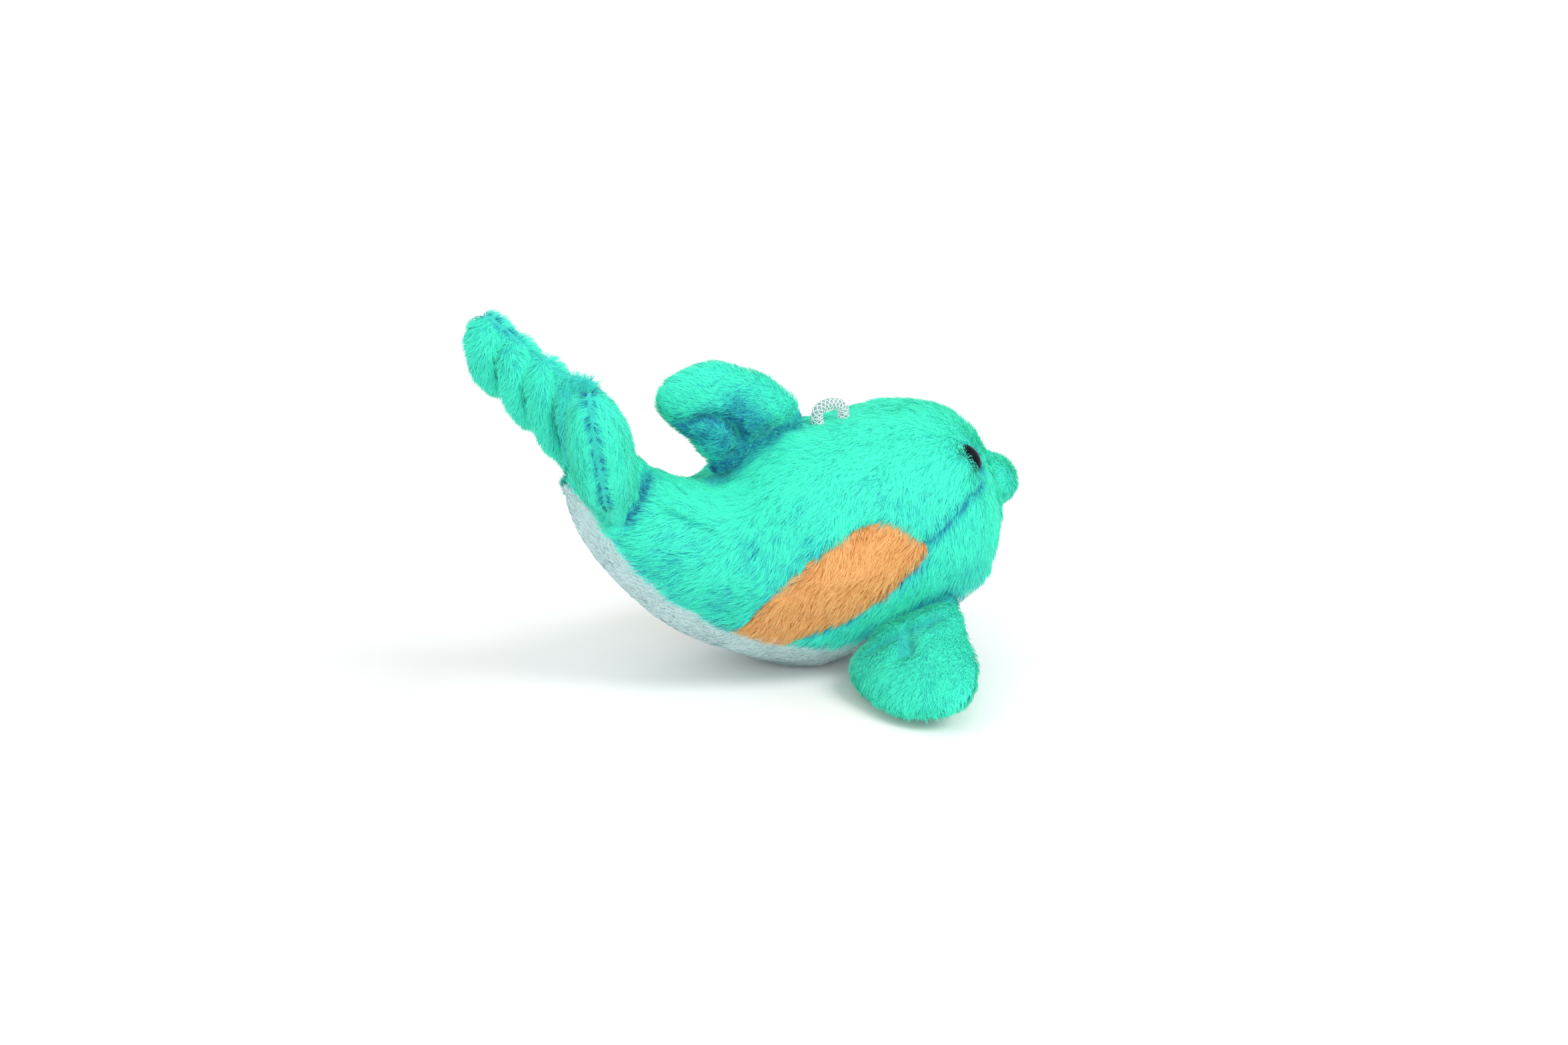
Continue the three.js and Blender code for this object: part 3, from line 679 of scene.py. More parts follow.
def scatter(points, faces, density):
    triangles = np.vstack([faces[:, [0, 1, 2]], faces[:, [0, 2, 3]]])
    a, b, c = (points[triangles[:, i]] for i in range(3))
    area = np.linalg.norm(np.cross(b - a, c - a), axis=1) / 2
    count = int(area.sum() * density)
    picked = random.choice(len(triangles), count, p=area / area.sum())
    s, t = random.random(count), random.random(count)
    over = s + t > 1
    s[over], t[over] = 1 - s[over], 1 - t[over]
    weights = np.stack([1 - s - t, s, t], 1)
    return triangles[picked], weights


def spreadOver(values, corners, weights):
    return (values[corners] * weights[..., None]).sum(1)


def fibreLines(roots, normals, combed, length, pile, lift):
    side = unit(np.cross(normals, combed))
    swing = random.normal(0, 1, len(roots)) * pile["spread"]
    ahead = unit(combed * np.cos(swing)[:, None] + side * np.sin(swing)[:, None])
    lines = [roots - normals * pileLook["seat"]]
    for k in range(fibreSteps):
        share = k / (fibreSteps - 1)
        angle = np.radians(lift * (1 - share) + pile["tipLift"] * share)
        heading = ahead * np.cos(angle)[:, None] + normals * np.sin(angle)[:, None]
        lines.append(lines[-1] + heading * (length / fibreSteps)[:, None])
    return np.stack(lines, 1)


def drawTogether(lines, spacing, draw):
    leaders = np.flatnonzero(random.random(len(lines)) < 1 / max(spacing, 1))
    tree = kdtree.KDTree(len(leaders))
    for i, leader in enumerate(leaders):
        tree.insert(lines[leader, 0], i)
    tree.balance()
    nearest = np.array([tree.find(root)[1] for root in lines[:, 0].tolist()])
    lead = lines[leaders[nearest]]
    pull = draw * (np.arange(fibreSteps + 1) / fibreSteps) ** pileLook["tuftCurve"]
    least, more = pileLook["tuftPull"]
    own = least + more * random.random(len(lines))
    weight = np.clip(pull[None, :, None] * own[:, None, None], 0, 0.95)
    return lines * (1 - weight) + lead * weight, leaders[nearest]


def growPile(
    name, rider, kind, material, roots, normals, combed, dark, short, bright, streaks, raised=0
):
    pile, look = pileSizes[kind], pileLook
    combed = unit(combed - normals * (combed * normals).sum(1, keepdims=True))
    swirl = sum(softNoise(roots, size) * strength for size, strength in look["swirls"])
    combed = unit(combed + swirl - normals * (swirl * normals).sum(1, keepdims=True))
    clumps = softNoise(roots + 40, look["clump"])[:, 0]
    count = len(roots)
    length = look["length"] + look["unevenLength"] * random.random(count) + look["clumpLength"] * clumps
    length = pile["length"] * length * (1 - short)
    clumps = softNoise(roots + 9, 2.2)[:, 1]
    lift = 1 + look["clumpLift"] * clumps + look["unevenLift"] * random.normal(0, 1, count)
    lift = np.clip(pile["lift"] * lift + raised, *look["liftRange"])
    lines = fibreLines(roots, normals, combed, length, pile, lift)
    lines, leader = drawTogether(lines, look["tuft"] ** 2 * pile["density"], pile["draw"])
    lines[..., 2] = np.maximum(lines[..., 2], look["lowest"])
    tuftShade = random.random(count)[leader]
    patchy = softNoise(roots + 30, 1.6)[:, 0]
    varied = look["shadeByArea"] * softNoise(roots + 70, 5)[:, 2] + look["shadeByPatch"] * patchy
    varied += look["shadeByTuft"] * (tuftShade - 0.5)
    varied += look["shadeByFibre"] * (random.random(count) - 0.5)
    # painted shade: a share of fibres is darkened, more where streaks is high, as flecks of shade between
    # the fibres
    specks = random.random(count) < look["specks"] * streaks * (1 + 1.6 * patchy)
    specks = specks * (look["speckDepth"] + look["unevenSpecks"] * random.random(count))
    # dark is painted shade from creases, seams, grooves, eye sockets and limb roots; a lower bright is
    # painted shade; streaks widens the random tone where the pile lies in painted shade
    shade = np.clip(bright + streaks * varied - look["darkest"] * dark - specks, 0.02, 0.97)
    parts = max(1, math.ceil(count / mostFibres))
    order = np.argsort(roots[:, 0])
    for k, chosen in enumerate(np.array_split(order, parts)):
        label = name if parts == 1 else f"{name}{k + 1}"
        piece = addFibres(label, lines[chosen], normals[chosen], shade[chosen], material)
        piece.visible_shadow = False
        declare(piece, rider)


def addFibres(name, lines, normals, shade, material):
    count, look = len(lines), pileLook
    along = unit(lines[:, -1] - lines[:, 0])
    side = unit(np.cross(normals, along))
    roll = random.normal(0, look["roll"], count)[:, None]
    side = unit(side * np.cos(roll) + normals * np.sin(roll))
    out = unit(np.cross(along, side))
    least, more = look["unevenWidth"]
    girth = look["width"] * (least + more * random.random(count))[:, None]
    rings, marks = [], []
    shading = unit(normals * 0.75 + out * 0.25)
    for k in range(fibreSteps):
        taper = look["tapers"][k]
        half = side * girth * taper / 2
        ridge = out * girth * taper * look["ridge"]
        rings += [lines[:, k] - half, lines[:, k] + ridge, lines[:, k] + half]
        for offset in (-look["edgeShade"], 0, look["edgeShade"]):
            marks.append(np.stack([shade + offset, np.full(count, k / fibreSteps)], 1))
    rings.append(lines[:, -1])
    marks.append(np.stack([shade, np.ones(count)], 1))
    each = len(rings)
    points = np.stack(rings, 1).reshape(-1, 3)
    uv = np.clip(np.stack(marks, 1).reshape(-1, 2), 0.002, 0.998)
    quads = []
    for k in range(fibreSteps - 1):
        a = 3 * k
        quads += [(a, a + 3, a + 4, a + 1), (a + 1, a + 4, a + 5, a + 2)]
    last = 3 * (fibreSteps - 1)
    tips = [(last, each - 1, last + 1), (last + 1, each - 1, last + 2)]
    start = (np.arange(count) * each)[:, None, None]
    quads = (start + np.array(quads)[None]).reshape(-1, 4)
    tips = (start + np.array(tips)[None]).reshape(-1, 3)
    made = addMesh(name, points, [quads, tips], material, uv=uv)
    bent = np.repeat(shading, each, 0).reshape(count, each, 3)
    bent[:, 0::3][:, :fibreSteps] -= side[:, None] * 0.25
    bent[:, 2::3][:, :fibreSteps] += side[:, None] * 0.25
    made.data.normals_split_custom_set_from_vertices(unit(bent).reshape(-1, 3).tolist())
    return made


# Limbs: each has a frame at its root, an outline and a fullness

limbs = {
    "fin": {
        "along": 0.411, "root": 21.5, "height": 20.2, "sweep": 9, "topWidth": 13, "thickness": 9,
        "tuck": 3,
        "comb": (0.75, -0.65, 0), "rings": 26, "fillingDepth": 3.9, "fillingRings": 26,
    },
    "flipper": {
        "along": 0.234, "turn": 129, "root": 19, "toe": 18, "pitch": 21, "length": 33, "width": 24,
        "setBack": 3.1, "yaw": 12, "droop": 10.2, "thickness": 8.6, "tuck": 6,
        "comb": (0.9, -0.4, 0), "rings": 26, "fillingDepth": 3.9, "fillingRings": 26,
    },
    "fluke": {
        "tail": (-39.2, 48), "behind": -2, "above": 2.5, "slump": 1.5, "apart": 3.5,
        "spread": 62.5, "twist": 2.5, "lean": -8, "thickness": 11.4, "webThickness": 6, "tuck": 3,
        "ribs": 4, "start": 2.6, "pitch": 6.2, "rise": 4.75, "slant": 8, "width": 9, "tipWidth": 10.5,
        "length": 17.2, "rootLength": 24, "rootDrop": 3.4, "hang": {"right": 8, "left": 0},
        "comb": (0.35, -0.95, 0), "rings": 20, "fillingDepth": 4.2, "fillingRings": 12,
    },
    "rootThickness": 5.5,
    "rootFill": 3.5,
    "pileDepth": 1.1,
    "skinGap": 0.1,
    "grooveDepth": 2.6,
    "grooveWidth": 2.4,
    "overlap": 0.35,  # how far a rib's skin goes on inside the next
    "intoBody": 0.9,  # how far a cover's skin goes on inside the body
    "fromFloor": 0.6,
    "fillingFrom": 1.5,
    "fillingLumps": (5, 0.35),
}


def limbFrame(middle, seam, out):
    along = unit(np.asarray(seam, float))
    away = unit(out - along * (np.asarray(out, float) @ along))
    return np.stack([away, along, np.cross(away, along)], 1), np.asarray(middle, float)


def toWorld(place, points):
    axes, origin = place
    return points @ axes.T + origin


def toLimb(place, points):
    axes, origin = place
    return (points - origin) @ axes


def fullness(x, thickness):
    share = smooth(0, limbs["rootFill"], x)
    return (limbs["rootThickness"] * (1 - share) + thickness * share) / 2


def finOutline():
    f = limbs["fin"]
    h, half, sweep = f["height"], f["root"] / 2, f["sweep"]
    front, rear = f["topWidth"] / 2 - sweep, -f["topWidth"] / 2 - sweep
    corners = [
        (-f["tuck"], half - 1), (h * 0.05, half), (h * 0.4, half - sweep * 0.25),
        (h * 0.7, half - sweep * 0.7), (h * 0.9, front + sweep * 0.3), (h, front - sweep * 0.35),
        (h * 0.98, rear + sweep * 0.35), (h * 0.84, rear + sweep * 0.05), (h * 0.63, rear + sweep * 0.1),
        (h * 0.35, rear + sweep * 0.35), (h * 0.05, -half), (-f["tuck"], 1 - half),
    ]
    return evenly(corners, 120, closed=True), np.array([h * 0.48, -sweep * 0.25])


def flipperOutline():
    f = limbs["flipper"]
    reach, wide, half = f["length"], f["width"], f["root"] / 2
    front, rear = wide / 2 - f["setBack"], -wide / 2 - f["setBack"]
    corners = [
        (-f["tuck"], half - 1), (reach * 0.07, half), (reach * 0.3, front + 0.2),
        (reach * 0.56, front), (reach * 0.82, front - wide * 0.08), (reach * 0.97, front - wide * 0.22),
        (reach, front - wide * 0.4), (reach * 0.94, rear + wide * 0.4), (reach * 0.82, rear + wide * 0.22),
        (reach * 0.58, rear + wide * 0.06), (reach * 0.33, rear), (reach * 0.15, rear + wide * 0.06),
        (reach * 0.03, -half), (-f["tuck"], 1 - half),
    ]
    return evenly(corners, 120, closed=True), np.array([reach * 0.48, -f["setBack"]])


def ribOutline(middle, width, length):
    angle = -2 * np.pi * np.arange(64) / 64
    slant = -np.radians(limbs["fluke"]["slant"])
    x, y = width / 2 * np.cos(angle), length / 2 * np.sin(angle)
    turned = np.stack([x * np.cos(slant) - y * np.sin(slant), x * np.sin(slant) + y * np.cos(slant)], 1)
    return turned + middle, np.asarray(middle, float)


def ribPlace(k, word):
    f = limbs["fluke"]
    share = k / (f["ribs"] - 1)
    length = f["rootLength"] * (1 - share) + f["length"] * share
    hang = f["hang"][word] * share**2
    return np.array([f["start"] + f["pitch"] * k, f["rise"] * k - f["rootDrop"] - hang / 2]), length + hang


def ribEnd(place, share):
    middle, length = place
    return middle[0], middle[1] + share * length / 2


def flukeRibs(word):
    f = limbs["fluke"]
    forms = []
    for k in range(f["ribs"]):
        middle, length = ribPlace(k, word)
        width = f["tipWidth"] if k == f["ribs"] - 1 else f["width"]
        forms.append((*ribOutline(middle, width, length), f["thickness"]))
    root, half, tip = (ribPlace(k, word) for k in (0, (f["ribs"] - 1) / 2, f["ribs"] - 1))
    corners = [
        (-f["tuck"], root[0][1] + root[1] / 2 - 1), ribEnd(root, 1), ribEnd(half, 0.9),
        ribEnd(tip, 0.85), (tip[0][0] + f["tipWidth"] * 0.42, tip[0][1]), ribEnd(tip, -0.98),
        ribEnd(half, -1.02), ribEnd(root, -1), (-f["tuck"], root[0][1] + 1 - root[1] / 2),
    ]
    web = evenly(corners, 100, closed=True)  # lies behind the ribs
    forms.append((web, half[0], f["webThickness"]))
    return forms


def pillowCrown(x, shares, thickness, inset):
    full = np.maximum(fullness(x, thickness) - inset, 0.3)
    return full * np.sqrt(np.maximum(1 - shares**3, 0))


def pillowHeight(points, outline, middle, thickness, inset):
    arms = outline - middle
    angles = np.arctan2(arms[:, 1], arms[:, 0])
    order = np.argsort(angles)
    reach = np.linalg.norm(arms, axis=1)[order]
    angles = angles[order]
    offset = points[:, :2] - middle
    at = np.interp(np.arctan2(offset[:, 1], offset[:, 0]), angles, reach, period=2 * np.pi) - inset
    share = np.linalg.norm(offset, axis=1) / np.maximum(at, 0.1)
    return np.where(share < 1, pillowCrown(points[:, 0], share, thickness, inset), -1)


def pillowSkin(outline, middle, thickness, inset, rings):
    arms = outline - middle
    long = np.linalg.norm(arms, axis=1, keepdims=True)
    arms = arms * (1 - inset / long)
    shares = np.sin(np.pi / 2 * np.linspace(0.004, 1, rings))
    flat = middle + arms[None] * shares[:, None, None]
    height = pillowCrown(flat[..., 0], shares[:, None], thickness, inset)
    top = np.concatenate([flat, height[..., None]], 2).reshape(-1, 3)
    return top, gridFaces(rings, len(outline))


def stuffedSkin(outline, middle, thickness, rings):
    top, faces = pillowSkin(outline, middle, thickness, limbs["pileDepth"] + limbs["skinGap"], rings)
    count = len(outline)
    cageRings, around = stuffed["limbRings"], count // 2
    cage = resample(top.reshape(rings, count, 3), cageRings, around)
    cage[-1, :, 2] = 0
    under = cage[:-1] * (1, 1, -1)
    points = np.vstack([cage.reshape(-1, 3), under.reshape(-1, 3)])
    upper = gridFaces(cageRings, around)
    both, rim = cageRings * around, (cageRings - 1) * around
    lower = upper[:, ::-1] + both
    lower = np.where(lower >= both + rim, lower - both, lower)  # the two covers share the rim
    held = smooth(2.5, 0.5, points[:, 0])
    held[rim:rim + around] = 1
    cageFaces = np.vstack([upper, lower])
    if vertexNormals(points, cageFaces)[:rim, 2].sum() < 0:
        cageFaces = cageFaces[:, ::-1]
    moved = blowUp(points, cageFaces, held, stuffed["limbCap"])[:both]
    moved = moved.reshape(cageRings, around, 3)
    moved[0] = moved[1] = moved[1].mean(0)
    moved = resample(moved, rings, count).reshape(-1, 3)
    share = np.linspace(0, 1, rings).repeat(count)[:, None]
    return top + moved * smooth(1, 0.9, share), faces


def vertexNormals(points, faces):
    a, b, c, d = (points[faces[:, i]] for i in range(4))
    flat = np.cross(c - a, d - b)
    total = np.zeros_like(points)
    for i in range(4):
        np.add.at(total, faces[:, i], flat)
    return unit(total)


def finFrame():
    along = limbs["fin"]["along"]
    seam = onBody(along - 0.1, 0) - onBody(along + 0.1, 0)
    return limbFrame(onBody(along, 0), seam, bodySlopes(along, 0)[2])


def flipperFrame(side):
    f = limbs["flipper"]
    toe, yaw = math.radians(f["toe"]), math.radians(f["yaw"])
    seam = np.array([math.cos(toe), side * math.sin(toe), math.tan(math.radians(f["pitch"]))])
    out = np.array([-math.sin(yaw), side * math.cos(yaw), -math.sin(math.radians(f["droop"]))])
    return limbFrame(onBody(f["along"], side * f["turn"]), seam, out)


def flukeFrame(side):
    f = limbs["fluke"]
    spread, lean = math.radians(f["spread"] - side * f["twist"]), math.radians(f["lean"])
    x, z = f["tail"]
    middle = np.array([x - f["behind"], side * f["apart"], z + f["above"] + side * f["slump"]])
    seam = np.array([math.sin(lean), 0, math.cos(lean)])
    out = np.array([-math.cos(spread), side * math.sin(spread), 0])
    return limbFrame(middle + body["shift"], seam, out)


limbPlaces = {"dorsal_fin": finFrame()}
for side, word in ((-1, "right"), (1, "left")):
    limbPlaces["flipper_" + word] = flipperFrame(side)
    limbPlaces["fluke_" + word] = flukeFrame(side)


def kindOf(limb):
    return "fin" if limb == "dorsal_fin" else limb.split("_")[0]


def limbForms(limb):
    kind = kindOf(limb)
    if kind == "fluke":
        return flukeRibs(limb.removeprefix("fluke_"))
    outline = finOutline() if kind == "fin" else flipperOutline()
    return [(*outline, limbs[kind]["thickness"])]


def insideLimb(points, limb, margin):
    local = toLimb(limbPlaces[limb], points)
    height = np.max([pillowHeight(local, *form, margin) for form in limbForms(limb)], axis=0)
    return np.abs(local[:, 2]) < height


# Body panels

def bodySkin(backDepth, bellyDepth, rows=body["along"], columns=body["around"]):
    e = np.linspace(0.0015, 0.9985, rows)
    t = e - np.sin(2 * np.pi * e) * body["crowding"] / (2 * np.pi)  # rows crowd towards both ends
    turn = np.arange(columns) * 360 / columns - 180
    t, turn = np.meshgrid(t, turn, indexing="ij")
    outer = onBody(t, turn).reshape(-1, 3)
    along, around, out = (slope.reshape(-1, 3) for slope in bodySlopes(t, turn))
    t, turn = t.ravel(), turn.ravel()
    fromEdge = np.abs(turn) - bellyEdge(t)
    toBelly = smooth(*body["bellyBlend"], fromEdge)
    sink = backDepth * (1 - toBelly) + bellyDepth * toBelly
    # share: how far in a crease a point lies, used later as painted shade there
    share, fold = foldAt(outer, ["mouthRight", "mouthLeft", "tailRight", "tailLeft"])
    depth, width = body["bellyGroove"]
    bellyGroove = depth * fade(fromEdge, width)
    depth, width = body["patchGroove"]
    patchGroove = depth * fade(fromPatchEdge(outer), width) * (np.abs(turn) > 20)
    inner = outer - out * (sink + fold + np.maximum(bellyGroove, patchGroove) - swellAt(outer))[:, None]
    inner[:, 2] = np.maximum(inner[:, 2], body["restGap"])
    down = around * np.where(turn > 0, 1.0, -1.0)[:, None]
    atBack, more = body["combLean"]
    lean = np.radians(atBack + more * smooth(*body["combTurn"], np.abs(turn)) * (1 - toBelly))
    combed = along * np.cos(lean)[:, None] + down * np.sin(lean)[:, None]
    return {
        "points": inner, "faces": gridFaces(rows, columns)[:, ::-1], "out": out, "combed": combed,
        "t": t, "turn": turn, "shade": share, "outer": outer,
    }


def stuffBody():
    rows = columns = stuffed["bodyRows"]
    cage = bodySkin(body["pileDepth"], body["bellyDepth"], rows, columns)
    points, t, turn = cage["points"], cage["t"], cage["turn"]
    belly = fade(np.abs(turn) - bellyEdge(t), stuffed["bellyHold"])
    patch = fade(fromPatchEdge(cage["outer"]), stuffed["patchHold"]) * (np.abs(turn) > 20)
    ends = np.maximum(smooth(0.93, 0.97, t), smooth(0.02, 0.01, t))
    held = np.max([belly, patch, cage["shade"], ends, smooth(2.5, 1.2, points[:, 2])], axis=0)
    moved = blowUp(points, cage["faces"], held, stuffed["bodyCap"])
    moved -= cage["out"] * (moved * cage["out"]).sum(1).mean() * 0.5
    return resample(moved.reshape(rows, columns, 3), body["along"], body["around"]).reshape(-1, 3)


def panelOf(points, t, turn):
    belly = np.abs(turn) > bellyEdge(t)
    patch = insidePatch(points) & (np.abs(turn) > 40) & ~belly
    return np.where(belly, 0, np.where(patch, 2, 1))


panels = [
    # panel, its node, its kind of pile, its material slot, its sides
    ("bellyPanel", "belly_panel", "white", "white_plush", ("",)),
    ("sidePanel", "side_panel", "turquoise", "turquoise_plush", ("Right", "Left")),
    ("flankPatch", "flank_patch", "orange", "orange_plush", ("Right", "Left")),
]

# What the body's pile does at folds, seams, eyes and limbs, as shares of painted shade and widths in
# millimetres. The pile is darker in creases, along the seam grooves, round the eyes, beside the limbs and on
# the lower flank, all painted shade.
bodyPile = {
    "fold": 1.2, "foldShort": 0.35,
    "bellySeam": 0.35, "bellySeamWidth": 2.5,
    "patchSeam": 0.45, "patchSeamWidth": 0.7,
    "besideLimb": ((2.4, 0.3), (1.2, 0.6)), "underLimb": 2.6,
    "bright": 0.95, "lowDark": 0.15, "streaks": 0.2, "lowStreaks": 1.0,
    "lowTurn": (25, 75), "behindFace": (0.02, 0.12),
}
# dark, aheadDark, darkFrom: painted shade in the fur sunk round each eye, darker on its front side
eyePile = {
    "bare": 0.5, "ringGap": 0.3, "ringWidth": 0.9, "parting": 2.5, "raised": 34,
    "dark": 0.25, "aheadDark": 0.55, "reach": 8, "depth": 5, "partingFrom": (-0.5, 1.5), "darkFrom": (-1, 2),
}


def acrossSeam(turns, weights):
    return np.where(np.ptp(turns, axis=1) > 180, 180, (turns * weights).sum(1))


def bodyRoots(skin):
    corners, weights = scatter(skin["points"], skin["faces"], pileSizes["turquoise"]["density"])
    spread = {key: spreadOver(skin[key], corners, weights) for key in ("points", "outer", "out", "combed")}
    normals = unit(spreadOver(vertexNormals(skin["points"], skin["faces"]), corners, weights))
    spread["normals"] = normals * np.sign((normals * spread["out"]).sum(1))[:, None]
    spread["t"] = (skin["t"][corners] * weights).sum(1)
    spread["turn"] = acrossSeam(skin["turn"][corners], weights)
    spread["panel"] = panelOf(spread["outer"], spread["t"], spread["turn"])
    spread["fold"] = (skin["shade"][corners] * weights).sum(1)
    return spread


def meetLimbs(roots):
    roots["covered"] = np.zeros(len(roots["points"]), bool)
    roots["beside"] = np.zeros(len(roots["points"]))
    for limb in limbPlaces:
        roots["covered"] |= insideLimb(roots["points"] + roots["normals"], limb, bodyPile["underLimb"])
        # painted shade on the body's pile beside the fin and flipper roots
        if kindOf(limb) != "fluke":
            for reach, share in bodyPile["besideLimb"]:
                near = insideLimb(roots["points"], limb, -reach)
                roots["beside"] = np.maximum(roots["beside"], share * near)


def meetEyes(roots):
    roots["raised"] = np.zeros(len(roots["points"]))
    roots["eyeDark"] = np.zeros(len(roots["points"]))
    for place in eyePlaces:
        local = toLimb(place, roots["points"])
        away = np.linalg.norm(local[:, :2], axis=1)
        near = (away < eyePile["reach"]) & (np.abs(local[:, 2]) < eyePile["depth"])
        roots["covered"] |= near & (away < eye["radius"] - eyePile["bare"])
        fromRim = np.maximum(away - eye["radius"] + eyePile["ringGap"], 0)
        ring = fade(fromRim, eyePile["ringWidth"]) * near
        ahead = smooth(*eyePile["partingFrom"], local[:, 0]) * ring
        outward = (local * (1, 1, 0) / np.maximum(away, 0.1)[:, None]) @ place[0].T
        parted = roots["combed"] * (1 - ahead)[:, None] + outward * (eyePile["parting"] * ahead)[:, None]
        roots["combed"] = unit(parted)
        roots["raised"] += eyePile["raised"] * ring * (1 - ahead)
        # painted shade in the sunk ring of fur round the eye, darker towards its front
        dark = ring * (eyePile["dark"] + eyePile["aheadDark"] * smooth(*eyePile["darkFrom"], local[:, 0]))
        roots["eyeDark"] = np.maximum(roots["eyeDark"], dark)


def shadeBodyRoots(roots):
    pile = bodyPile
    roots["fold"] = np.clip(roots["fold"] * pile["fold"], 0, 1)
    fromBelly = np.abs(np.abs(roots["turn"]) - bellyEdge(roots["t"]))
    fromPatch = fromPatchEdge(roots["outer"])
    # painted shade in creases, eye sockets, beside limbs and along the belly and patch seam grooves
    roots["dark"] = np.max([
        roots["fold"], roots["eyeDark"], roots["beside"],
        fade(fromBelly, pile["bellySeamWidth"]) * pile["bellySeam"],
        fade(fromPatch, pile["patchSeamWidth"]) * pile["patchSeam"],
    ], axis=0)
    # painted shade: the lower flank, on which less light falls, is darker and more streaked
    low = smooth(*pile["lowTurn"], np.abs(roots["turn"]))
    roots["low"] = low * smooth(*pile["behindFace"], roots["t"])


def makeBody(materials):
    skin = bodySkin(body["pileDepth"], body["bellyDepth"])
    skin["points"] = skin["points"] + stuffBody()
    skin["points"][:, 2] = np.maximum(skin["points"][:, 2], body["restGap"])
    print("body cloth blown up")
    points, faces = skin["points"], skin["faces"]
    faceTurn = acrossSeam(skin["turn"][faces], 0.25)
    panel = panelOf(skin["outer"][faces].mean(1), skin["t"][faces].mean(1), faceTurn)
    faceSide = np.where(points[faces].mean(1)[:, 1] > 0, "Left", "Right")
    roots = bodyRoots(skin)
    rootSide = np.where(roots["points"][:, 1] > 0, "Left", "Right")
    meetLimbs(roots)
    meetEyes(roots)
    shadeBodyRoots(roots)
    for index, (name, node, kind, slotName, sides) in enumerate(panels):
        for word in sides:
            onSide = (panel == index) & ((faceSide == word) | (word == ""))
            piece = addMesh(name + word, *keepFaces(points, faces[onSide]), materials[kind + "Backing"])
            declare(piece, "body", node + (word and "_" + word.lower()))
            chosen = (roots["panel"] == index) & ((rootSide == word) | (word == "")) & ~roots["covered"]
            own = {key: value[chosen] for key, value in roots.items()}
            short = bodyPile["foldShort"] * own["fold"]
            # own dark is painted shade; on the lower flank less bright and stronger streaks are painted
            # shade too
            bright = bodyPile["bright"] - bodyPile["lowDark"] * own["low"]
            streaks = bodyPile["streaks"] + bodyPile["lowStreaks"] * own["low"]
            growPile(
                name + word + "Pile", "body", kind, materials[kind], own["points"],
                own["normals"], own["combed"], own["dark"], short, bright, streaks, own["raised"],
            )
    print("body panels made", len(rootSide), "roots")
    return BVHTree.FromPolygons(points.tolist(), faces[:, ::-1].tolist())


def makeStuffing(materials):
    skin = bodySkin(body["stuffingDepth"], body["stuffingDepth"])
    size, height = body["stuffingLumps"]
    points = skin["points"] + softNoise(skin["points"], size) * height
    points[:, 2] = np.maximum(points[:, 2], body["stuffingGap"])
    piece = addMesh("bodyStuffing", points, skin["faces"], materials["filling"])
    declare(piece, "body", "body_stuffing")


# Snout: a blunt nub sewn on the face

snout = {
    "middle": (40.6, 0, 30.9), "size": (8.2, 7.3, 5.8), "pileDepth": 0.6, "around": 72, "along": 48,
    "comb": (-1.0, 0, -0.2), "bright": 0.97, "streaks": 0.6,
}


def makeSnout(materials, bodyTree):
    theta = np.linspace(0.02, np.pi - 0.02, snout["along"])
    phi = np.arange(snout["around"]) * 2 * np.pi / snout["around"]
    theta, phi = np.meshgrid(theta, phi, indexing="ij")
    ball = [np.cos(theta), np.sin(theta) * np.cos(phi), np.sin(theta) * np.sin(phi)]
    ball = np.stack(ball, -1).reshape(-1, 3)
    size = np.array(snout["size"]) - snout["pileDepth"]
    points = ball * size + np.array(snout["middle"]) + body["shift"]
    faces = gridFaces(snout["along"], snout["around"])
    piece = addMesh("snoutSkin", points, faces, materials["turquoiseBacking"])
    declare(piece, "body", "snout")
    corners, weights = scatter(points, faces, pileSizes["snout"]["density"])
    roots = spreadOver(points, corners, weights)
    normals = unit(spreadOver(unit(ball / size), corners, weights))
    free = outsideOf(bodyTree, roots, 0.6)
    roots, normals = roots[free], normals[free]
    combed = np.tile(snout["comb"], (len(roots), 1))
    plain = np.zeros(len(roots))
    growPile(
        "snoutPile", "body", "snout", materials["turquoise"],
        roots, normals, combed, plain, plain, snout["bright"], snout["streaks"],
    )


# Limbs: two covers and a filling each

limbCovers = {
    # limb: its covers, and the side of the limb's frame that each lies on
    "dorsal_fin": {"right": -1, "left": 1},
    "flipper_right": {"upper": 1, "lower": -1},
    "flipper_left": {"upper": -1, "lower": 1},
    "fluke_right": {"front": -1, "rear": 1},
    "fluke_left": {"front": 1, "rear": -1},
}
coverFolds = {
    "dorsal_fin_right_cover": ["finCrease"],
    "flipper_right_upper_cover": ["flipperCreaseRight", "flipperPinchRight"],
    "flipper_left_upper_cover": ["flipperCreaseLeft", "flipperPinchLeft"],
}
# the dark shares are painted shade: at the limb's root on the body, along the parted edge seam, in the rib
# grooves, between the flukes and round the fin's fold
coverPile = {
    "bright": 0.97,
    "streaks": {"fin": 0.8, "flipper": 0.4, "fluke": 0.8},
    # seam: painted shade where the pile parts at the edge seam
    "seam": {"fin": 0.12, "flipper": 0.12, "fluke": 1.0},  # how dark the edge seam is
    "ribSeam": 0.25,  # share of it before the last rib
    "lastRib": (13, 18),
    "seamWidth": 0.45,
    "parting": 1.6,
    "partingWidth": 1.2,
    "atBody": 0.8,
    "bodyReach": (-0.4, 1.4),
    "rearGroove": 1.2,
    "betweenFlukes": 0.45,
    "betweenReach": (10, 2),
    "finFoldDark": 0.8,
    "finFoldReach": (11, 2.5),
    "finFoldHeight": (15.5, 9),
    "short": 0.75,
    "shortAtBody": 0.2,
}


